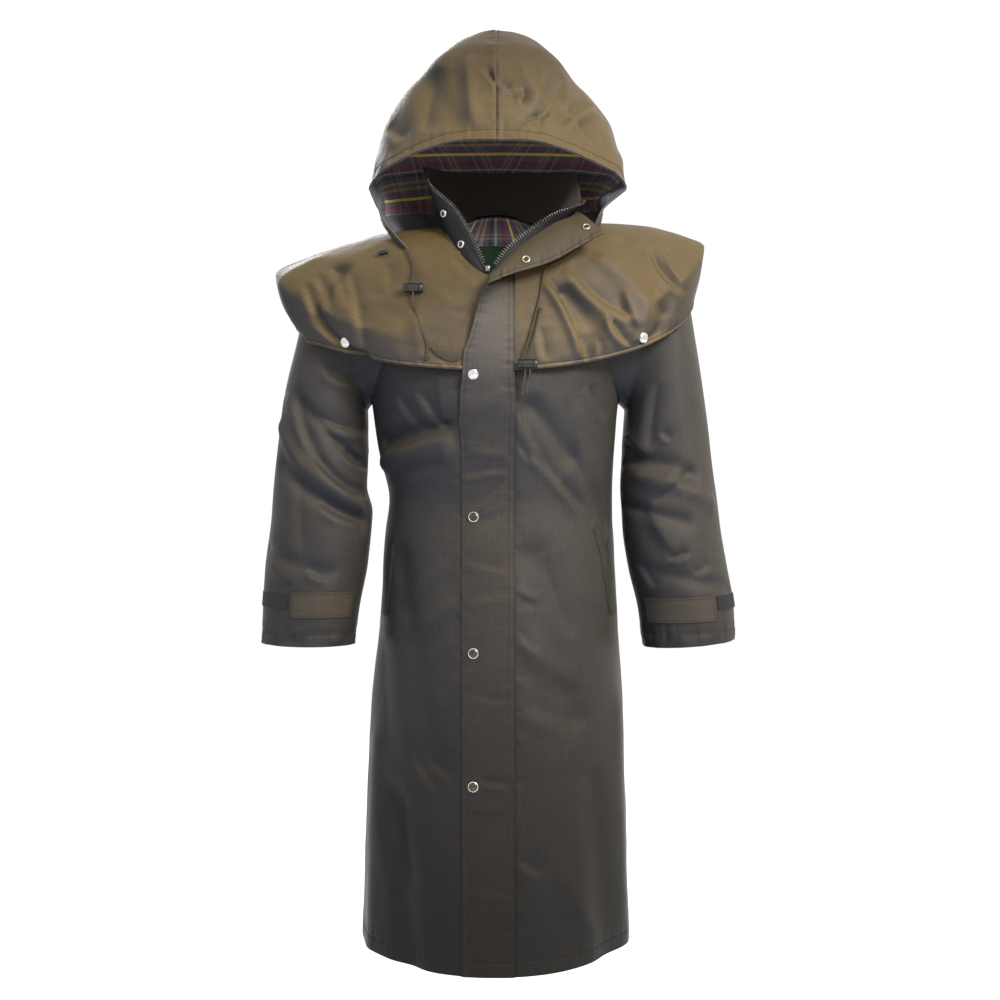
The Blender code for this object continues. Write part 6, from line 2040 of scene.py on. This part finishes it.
def build_cape_piece(name, angles, levels, creases, seed, finish):
    points = cape(angles, levels)
    run, hem = np.radians(angles) * CAPE_CHART[0], levels * CAPE_CHART[1]
    height = crease_height(creases, points[..., 0], points[..., 2])
    height = height + pucker(hem - CAPE_BINDING, run * CAPE_GATHER_RATE, CAPE_GATHER, seed)
    height = height + bumps(run, hem, CAPE_BUMPS, seed + 1) + bumps(run, hem, CAPE_FINE_BUMPS, seed + 2)
    flat = calm(points, ("cape_stud_left", "cape_stud_right"))
    outer = raised(points, height * ease(*CAPE_TOP_FADE, levels) * flat)
    made = shell(f"{name}_cloth", outer, CAPE_CLOTH, chart_of(angles, levels, CAPE_CHART))
    dressed(made, finish, "cape_cloth", name)
    return made, outer


def build_binding(name, outer, finish):
    """The rounded strip that binds a cape piece's lower edge."""
    shown = (outer[0, :, 0] < FLAP_FREE_X + BINDING_UNDER) | (outer[0, :, 0] > FLAP_SEWN_X)
    normals = grid_normals(outer)[0, shown]
    edge = outer[0, shown]
    upward = unit(outer[BINDING_ROW, shown] - edge)
    rows = [edge + upward * up + normals * out for up, out in BINDING_SECTION]
    grid = np.stack(rows)[::-1]
    chart = np.stack([lengths(grid, 1), lengths(grid, 0)], axis=-1)
    made = wall(f"{name}_binding", grid, grid - grid_normals(grid) * BINDING_CLOTH, chart)
    return dressed(made, finish, "cape_cloth")


def build_cape(finish):
    levels = cape_rows()
    share = np.linspace(0, 1, CAPE_FRONT_COLUMNS + 1)[None, :]
    rows = np.repeat(levels[:, None], CAPE_FRONT_COLUMNS + 1, axis=1)
    right_x, left_x = np.full_like(levels, ZIP_X), np.full_like(levels, FLAP_SEWN_X + SEAM_GAP)
    right_edge = front_angle(CAPE, CAPE_SQUARENESS, right_x, levels)[:, None]
    left_edge = front_angle(CAPE, CAPE_SQUARENESS, left_x, levels)[:, None]
    back_angles, back_rows = np.meshgrid(np.linspace(90, 270, CAPE_BACK_COLUMNS + 1), levels)
    grids = {
        "cape_front_right": (-90 + (right_edge + 90) * share, rows, CAPE_CREASES, CAPE_RIGHT_SEED),
        "cape_front_left": (left_edge + (90 - left_edge) * share, rows, CAPE_CREASES, CAPE_LEFT_SEED),
        "cape_back": (back_angles, back_rows, CAPE_BACK_CREASES, CAPE_BACK_SEED),
    }
    return {name: build_cape_piece(name, *grid, finish) for name, grid in grids.items()}


# Hood, collar and neck


def hood_form(side):
    """A hood half's creased outer face, its normals, and the distances from its top seam and face edge."""
    along = np.concatenate([np.linspace(0, FACING_ALONG, HOOD_FACING_ROWS + 1),
                            np.linspace(FACING_ALONG, 1, HOOD_LINING_ROWS + 1)[1:]])
    down, along_grid = np.meshgrid(hood_columns(), along)
    points = hood(side, down, along_grid)
    points[..., 2] -= np.interp(along_grid, *zip(*HOOD_DROPS)) * ease(HOOD_DROP_FROM, 1.0, down)
    above = (points[..., 2] - HOOD_PINCH_HEIGHT) / HOOD_PINCH_REACH
    points[..., 0] *= 1 - HOOD_PINCH[side] * np.exp(-(above**2))
    crown = ease(HOOD_CROWN_FROM, HOOD_PINCH_HEIGHT, points[..., 2])
    points[..., 2] -= HOOD_CROWN_SINK * crown * np.exp(-((points[..., 0] / HOOD_CROWN_REACH) ** 2))
    normals = seam_normals(points)
    edge, run = lengths(points, 0), lengths(points, 1)
    height = crease_height(HOOD_CREASES, points[..., 0] * side, points[..., 2])
    height = height * ease(*HOOD_FRONT_FADE, normals[..., 1])
    height = height + pucker(edge - BRIM_STITCH, run, BRIM_GATHER, HOOD_SEED + side)
    height = height + groove(edge - BRIM_STITCH, BRIM_GROOVE)
    height = height + bumps(run, edge, HOOD_BUMPS, HOOD_SEED + 2 + side)
    height = height + pucker(run, edge, HOOD_SEAM_GATHER, HOOD_SEAM_SEED)
    height = height * ease(*HOOD_SEAM_FADE, run) * ease(*HOOD_FOOT_FADE, down)
    height = height + groove(run, HOOD_SEAM_GROOVE)
    outer = points + normals * height[..., None]
    outer[:, 0, 0] = 0.0
    return outer, normals, run, edge


def hood_columns():
    """Shares down the hood, close together at the centre seam."""
    return np.concatenate([HOOD_SEAM_COLUMNS, np.linspace(HOOD_SEAM_COLUMNS[-1], 1, HOOD_DOWN + 1)[1:]])


def build_hood(finish, facing_cloth, lining_cloth):
    pieces = {}
    forms = {side: hood_form(side) for side in (-1, 1)}
    for seam in (np.s_[:, 0], np.s_[-1]):
        forms[-1][0][seam] = forms[1][0][seam]
    for side_name, side in (("right", -1), ("left", 1)):
        outer, normals, run, edge = forms[side]
        row, everywhere = HOOD_FACING_ROWS, slice(None)
        end_column = int(np.argmax(hood_columns() > FACING_END))
        end = (slice(row - 1, row + FACING_END_ROWS), slice(end_column, None))
        outer_chart = np.stack([run, edge], axis=-1)
        lining_chart = np.stack([np.broadcast_to(forms[1][2][row], run.shape), edge], axis=-1)
        lining_depth = HOOD_CLOTH + SEAM_GAP
        end_depth = lining_depth + LINING_CLOTH + SEAM_GAP
        skins = (
            ("hood", ((everywhere, everywhere), 0.0), None, HOOD_CLOTH, outer_chart, finish, "cape_cloth"),
            ("hood_facing", ((slice(0, row + 1), everywhere), lining_depth), (end, end_depth), LINING_CLOTH,
             outer_chart, facing_cloth, "coat_cloth"),
            ("hood_lining", ((slice(row, None), everywhere), lining_depth), None, LINING_CLOTH, lining_chart,
             lining_cloth, "checked_lining"),
        )
        for kind, body, extra, cloth, chart, look, slot in skins:
            name = f"{kind}_{side_name}"
            made, first = hood_skin(f"{name}_cloth", side, outer, normals, chart, body, cloth)
            ends = []
            if extra:
                band, band_grid = hood_skin(f"{name}_end", side, outer, normals, chart, extra, cloth)
                made = joined(made, [band])
                ends.append(band_grid)
            pieces[name] = (dressed(made, look, slot, name), first, ends)
    return pieces


def hood_skin(name, side, outer, normals, chart, part, cloth):
    """A wall at a depth inside the hood's outer face, over part of it."""
    place, depth = part
    first = outer[place] - normals[place] * depth
    second = first - normals[place] * cloth
    for layer in (first, second):
        layer[..., 0] = np.maximum(layer[..., 0], -SEAM_OVERLAP)
    if side < 0:
        return wall(name, mirrored(first), mirrored(second), chart[place][:, ::-1]), mirrored(first)
    return wall(name, first, second, chart[place]), first


def joined(piece, others):
    """Adds other pieces' meshes to a piece."""
    bpy.ops.object.select_all(action="DESELECT")
    for other in [*others, piece]:
        other.select_set(True)
    bpy.context.view_layer.objects.active = piece
    bpy.ops.object.join()
    return piece


def seam_normals(points):
    """A hood half's normals, with no lean across the centre seam."""
    normals = grid_normals(points)
    normals[:, 0, 0] = 0.0
    normals[-1, :, 0] = 0.0
    normals[-1, 0] = normals[-2, 0] + normals[-1, 1]
    return unit(normals)


def build_collar(finish, cord_finish):
    angles = np.linspace(COLLAR[0].angle, COLLAR[-1].angle, COLLAR_COLUMNS + 1)
    angle_grid, share_grid = np.meshgrid(angles, np.linspace(0, 1, COLLAR_ROWS + 1))
    points = collar(angle_grid, share_grid * collar_top(angle_grid))
    across, along = lengths(points, 1), lengths(points, 0)
    outer = raised(points, bumps(across, along, SMALL_BUMPS, COLLAR_SEED))
    chart = np.stack([across, along], axis=-1)
    made = shell("collar_cloth", outer, COLLAR_CLOTH, chart)
    dressed(made, finish, "coat_cloth", "collar")
    step = (COLLAR[-1].angle - COLLAR[0].angle) / COLLAR_SOLID_COLUMNS
    inside = (angles > COLLAR[0].angle + step) & (angles < COLLAR[-1].angle - 2 * step)
    normals = grid_normals(outer)[:, inside]
    face = outer[:, inside] - normals * (COLLAR_CLOTH + SEAM_GAP)
    facing = wall("collar_facing_cloth", face, face - normals * LINING_CLOTH, chart[:, inside])
    dressed(facing, cord_finish, "dark_corduroy", "collar_facing")
    return (made, outer), (facing, face)


def tooth_model():
    """One zip tooth: a bevelled block across the tape with a smaller raised head at its free end."""
    made = bevelled_block("tooth_model", TOOTH_SIZE, TOOTH_BEVEL, 1)
    for face in made.data.polygons:
        face.select = face.normal.y > SQUARELY
    bpy.ops.object.mode_set(mode="EDIT")
    bpy.ops.mesh.extrude_region_move(TRANSFORM_OT_translate={"value": (0, TOOTH_HEAD, 0)})
    bpy.ops.transform.resize(value=TOOTH_TAPER)
    bpy.ops.object.mode_set(mode="OBJECT")
    return made


def row_of_teeth(name, places, ahead, up):
    """A row of zip teeth, copied from one model and joined."""
    model = tooth_model()
    teeth = []
    for place, forward, upward in zip(places, ahead, up):
        tooth = copied(model, f"{name}_{len(teeth)}")
        forward, upward = Vector(forward), Vector(upward)
        turn = Matrix((forward, upward.cross(forward), upward)).transposed().to_4x4()
        tooth.data.transform(Matrix.Translation(Vector(place)) @ turn)
        teeth.append(tooth)
    bpy.data.objects.remove(model)
    made = joined(teeth[0], teeth[1:])
    made.name = name
    return made


def build_zip(tape_cloth):
    teeth_finish = metal("zip_teeth", rgb(126, 122, 114), rgb(52, 50, 48), 0.34)
    pieces = []
    for side_name, (first, last) in (("left", ZIP_LEFT_ANGLES), ("right", ZIP_RIGHT_ANGLES)):
        angles = np.linspace(first, last, TAPE_COLUMNS + 1)
        angle_grid, share_grid = np.meshgrid(angles, np.linspace(0, 1, TAPE_ROWS + 1))
        top = collar_top(angle_grid)
        points = collar(angle_grid, top + (1 - top) * share_grid)
        outer = points - grid_normals(points) * (COLLAR_CLOTH - TAPE_CLOTH) / 2
        chart = np.stack([lengths(outer, 1), lengths(outer, 0)], axis=-1)
        tape = shell(f"zip_tape_{side_name}_cloth", outer, TAPE_CLOTH, chart)
        dressed(tape, tape_cloth, "zip_tape", f"zip_tape_{side_name}")
        places, ahead, up = resampled(outer[-1], grid_normals(outer)[-1], TOOTH_PITCH)
        teeth = row_of_teeth(f"zip_teeth_{side_name}", places, ahead, up)
        dressed(teeth, teeth_finish, "stud_steel")
        pieces.append((tape, outer, teeth))
    return pieces


def build_neck_lining(lining_cloth, green):
    """The checked lining inside the back neck, and a blank label on it."""
    solid_levels = armhole_levels()
    levels = np.linspace(solid_levels[-NECK_LINING_ROWS], 1, LINING_ROWS + 1)
    opening = armhole_opening(levels)[:, None]
    margin = NECK_LINING_INSET / NECK_SOLID_COLUMNS
    share = np.linspace(margin, 1 - margin, LINING_COLUMNS + 1)[None, :]
    angles = (90 + opening) + (180 - 2 * opening) * share
    rows = np.repeat(levels[:, None], LINING_COLUMNS + 1, axis=1)
    normals = outward(trunk, angles, rows, ANGLE_STEPS)
    outer = trunk(angles, rows) - normals * (COAT_CLOTH + LAY_GAP)
    chart = chart_of(angles, rows, NECK_CHART)
    lining_grid = outer
    lining = wall("neck_lining_cloth", outer, outer - normals * LINING_CLOTH, chart)
    dressed(lining, lining_cloth, "checked_lining", "neck_lining")
    low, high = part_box("neck_label")
    places = np.interp(np.linspace(low.z, high.z, TAB_ROWS + 1), trunk(180.0, LEVEL_SCAN)[:, 2], LEVEL_SCAN)
    half = math.degrees(math.asin(min(1.0, high.x / NECK_HALF_WIDTH)))
    angles, rows = np.meshgrid(np.linspace(180 - half, 180 + half, TAB_COLUMNS + 1), places)
    normals = outward(trunk, angles, rows, ANGLE_STEPS)
    outer = trunk(angles, rows) - normals * (COAT_CLOTH + LAY_GAP * 2 + LINING_CLOTH)
    chart = chart_of(angles, rows, NECK_CHART)
    label = wall("neck_label_cloth", outer, outer - normals * LINING_CLOTH, chart)
    dressed(label, green, "green_label", "neck_label")
    return (lining, lining_grid), (label, outer)


def armhole_levels():
    """The solids' rows from the armpit to the neck."""
    shoulder = level_of(TRUNK, "shoulder")
    _, arm = armhole_place(np.linspace(180, 0, SOLID_ARMHOLE_STEPS + 1))
    return np.concatenate([arm, np.linspace(shoulder, 1, SOLID_YOKE_ROWS + 1)[1:]])


def grid_area(grid):
    """The area of a grid of points, from its cells' diagonals."""
    sides = np.cross(grid[1:, 1:] - grid[:-1, :-1], grid[1:, :-1] - grid[:-1, 1:])
    return np.linalg.norm(sides, axis=-1).sum() / 2


def sheet_facts(piece, grid, held, rests_on, with_pieces=(), ends=()):
    """Works out a piece's flat cut, the rectangle round it and its own area with what runs on from its end,
    but neither returns nor records it.
    """
    wide = lengths(grid, 1)[:, -1].max()
    long = sum(lengths(part, 0)[-1].max() for part in (grid, *ends))
    long = max(long, NARROWEST_CUT)
    area = sum(grid_area(part) for part in (grid, *ends))
    area = min(max(area, LEAST_CUT_SHARE * wide * long), wide * long)


def reversed_line(pair):
    line, normals = pair
    return line[::-1], normals[::-1]


def sew_coat(fronts, back_grid, flap_grid, lapel_grid, welts, sleeves):
    """Stitches along the hem, the flap, the lapel, the welts, the cuffs and their tabs."""
    coat_lines = [inset_line(grid, HEM_STITCH) for grid in (fronts["right"][1], fronts["left"][1], back_grid)]
    coat_lines.append(inset_line(flap_grid, HEM_STITCH))
    coat_lines.append(reversed_line(inset_line(turned_grid(flap_grid), FLAP_EDGE_STITCH)))
    for distance in FLAP_SEAM_STITCHES:
        coat_lines.append(inset_line(turned_grid(flap_grid[:, ::-1]), distance))
    coat_lines.append(inset_line(lapel_grid, FLAP_EDGE_STITCH))
    for _, grid in welts.values():
        for line in (turned_grid(grid), turned_grid(grid[:, ::-1])):
            coat_lines.append(inset_line(line, TAB_STITCH))
    for _, _, cuff_line, tabs in sleeves.values():
        coat_lines.append(cuff_line)
        grid = tabs["cuff_tab"][1]
        for line in (grid, grid[::-1], turned_grid(grid), turned_grid(grid[:, ::-1])):
            coat_lines.append(inset_line(line, TAB_STITCH))
    stitching("coat_stitching", coat_lines, thread("coat_thread", rgb(22, 20, 19)), "coat_cloth")


def sew_cape(capes, hoods):
    """Stitches beside the cape's binding, round the hood's brim and along its centre seam."""
    cape_lines = [inset_line(grid, CAPE_BINDING + BINDING_STITCH) for _, grid in capes.values()]
    cape_lines.extend(inset_line(hoods[f"hood_{name}"][1], BRIM_STITCH) for name in ("right", "left"))
    cape_lines.append(reversed_line(inset_line(turned_grid(hoods["hood_left"][1]), HOOD_SEAM_STITCH)))
    stitching("cape_stitching", cape_lines, thread("cape_thread", rgb(50, 42, 27)), "cape_cloth")


def main():
    build_stage()
    coat, cape_finish, inside = coat_cloth(), cape_cloth(), plain_inside()
    pile, check, cord_cloth, tabs_finish = loop_pile(), checked_lining(), corduroy(), tab_cloth_painted_lit()
    build_cords(build_toggles())

    sides = (("right", -1), ("left", 1))
    fronts = {name: build_front(name, side, coat) for name, side in sides}
    back, back_grid = build_back(coat)
    flap, flap_grid = build_flap(flap_cloth())
    lapel, lapel_grid = build_lapel(lapel_cloth())
    welts = build_welts({name: made for name, (made, _) in fronts.items()}, coat)
    sleeves = {name: build_sleeve(name, side, coat, tabs_finish, pile) for name, side in sides}
    capes = build_cape(cape_finish)
    hoods = build_hood(cape_finish, inside, check)
    collar_piece, facing = build_collar(collar_cloth(), cord_cloth)
    tapes = build_zip(zip_cloth())
    lining, label = build_neck_lining(check, label_tape())
    build_studs()
    build_bead()
    build_slider()

    sew_coat(fronts, back_grid, flap_grid, lapel_grid, welts, sleeves)
    sew_cape(capes, hoods)
    bindings = {name: build_binding(name, grid, cape_finish) for name, (_, grid) in capes.items()}

    for name, (made, grid) in fronts.items():
        sheet_facts(made, grid, "hung", ["coat_back_cloth"], [welts[name][0]])
    sheet_facts(back, back_grid, "hung", ["coat_front_left_cloth", "coat_front_right_cloth"])
    sheet_facts(flap, flap_grid, "hung", ["coat_front_left_cloth"])
    sheet_facts(lapel, lapel_grid, "folded", ["collar_cloth"])
    for made, grid, _, tabs in sleeves.values():
        ring = np.append(grid, grid[:, :1], axis=1)
        sheet_facts(made, ring, "hung", ["coat_back_cloth"], [tab for tab, _ in tabs.values()])
    for name, (made, grid) in capes.items():
        sheet_facts(made, grid, "draped", ["coat_back_cloth"], [bindings[name]])
    for made, grid, ends in hoods.values():
        sheet_facts(made, grid, "draped", ["cape_back_cloth"], ends=ends)
    sheet_facts(*collar_piece, "hung", ["coat_back_cloth"])
    sheet_facts(*facing, "laid", ["collar_cloth"])
    for tape, grid, teeth in tapes:
        sheet_facts(tape, grid, "laid", ["collar_cloth"], [teeth])
    sheet_facts(*lining, "laid", ["coat_back_cloth"])
    sheet_facts(*label, "laid", ["neck_lining_cloth"])


main()
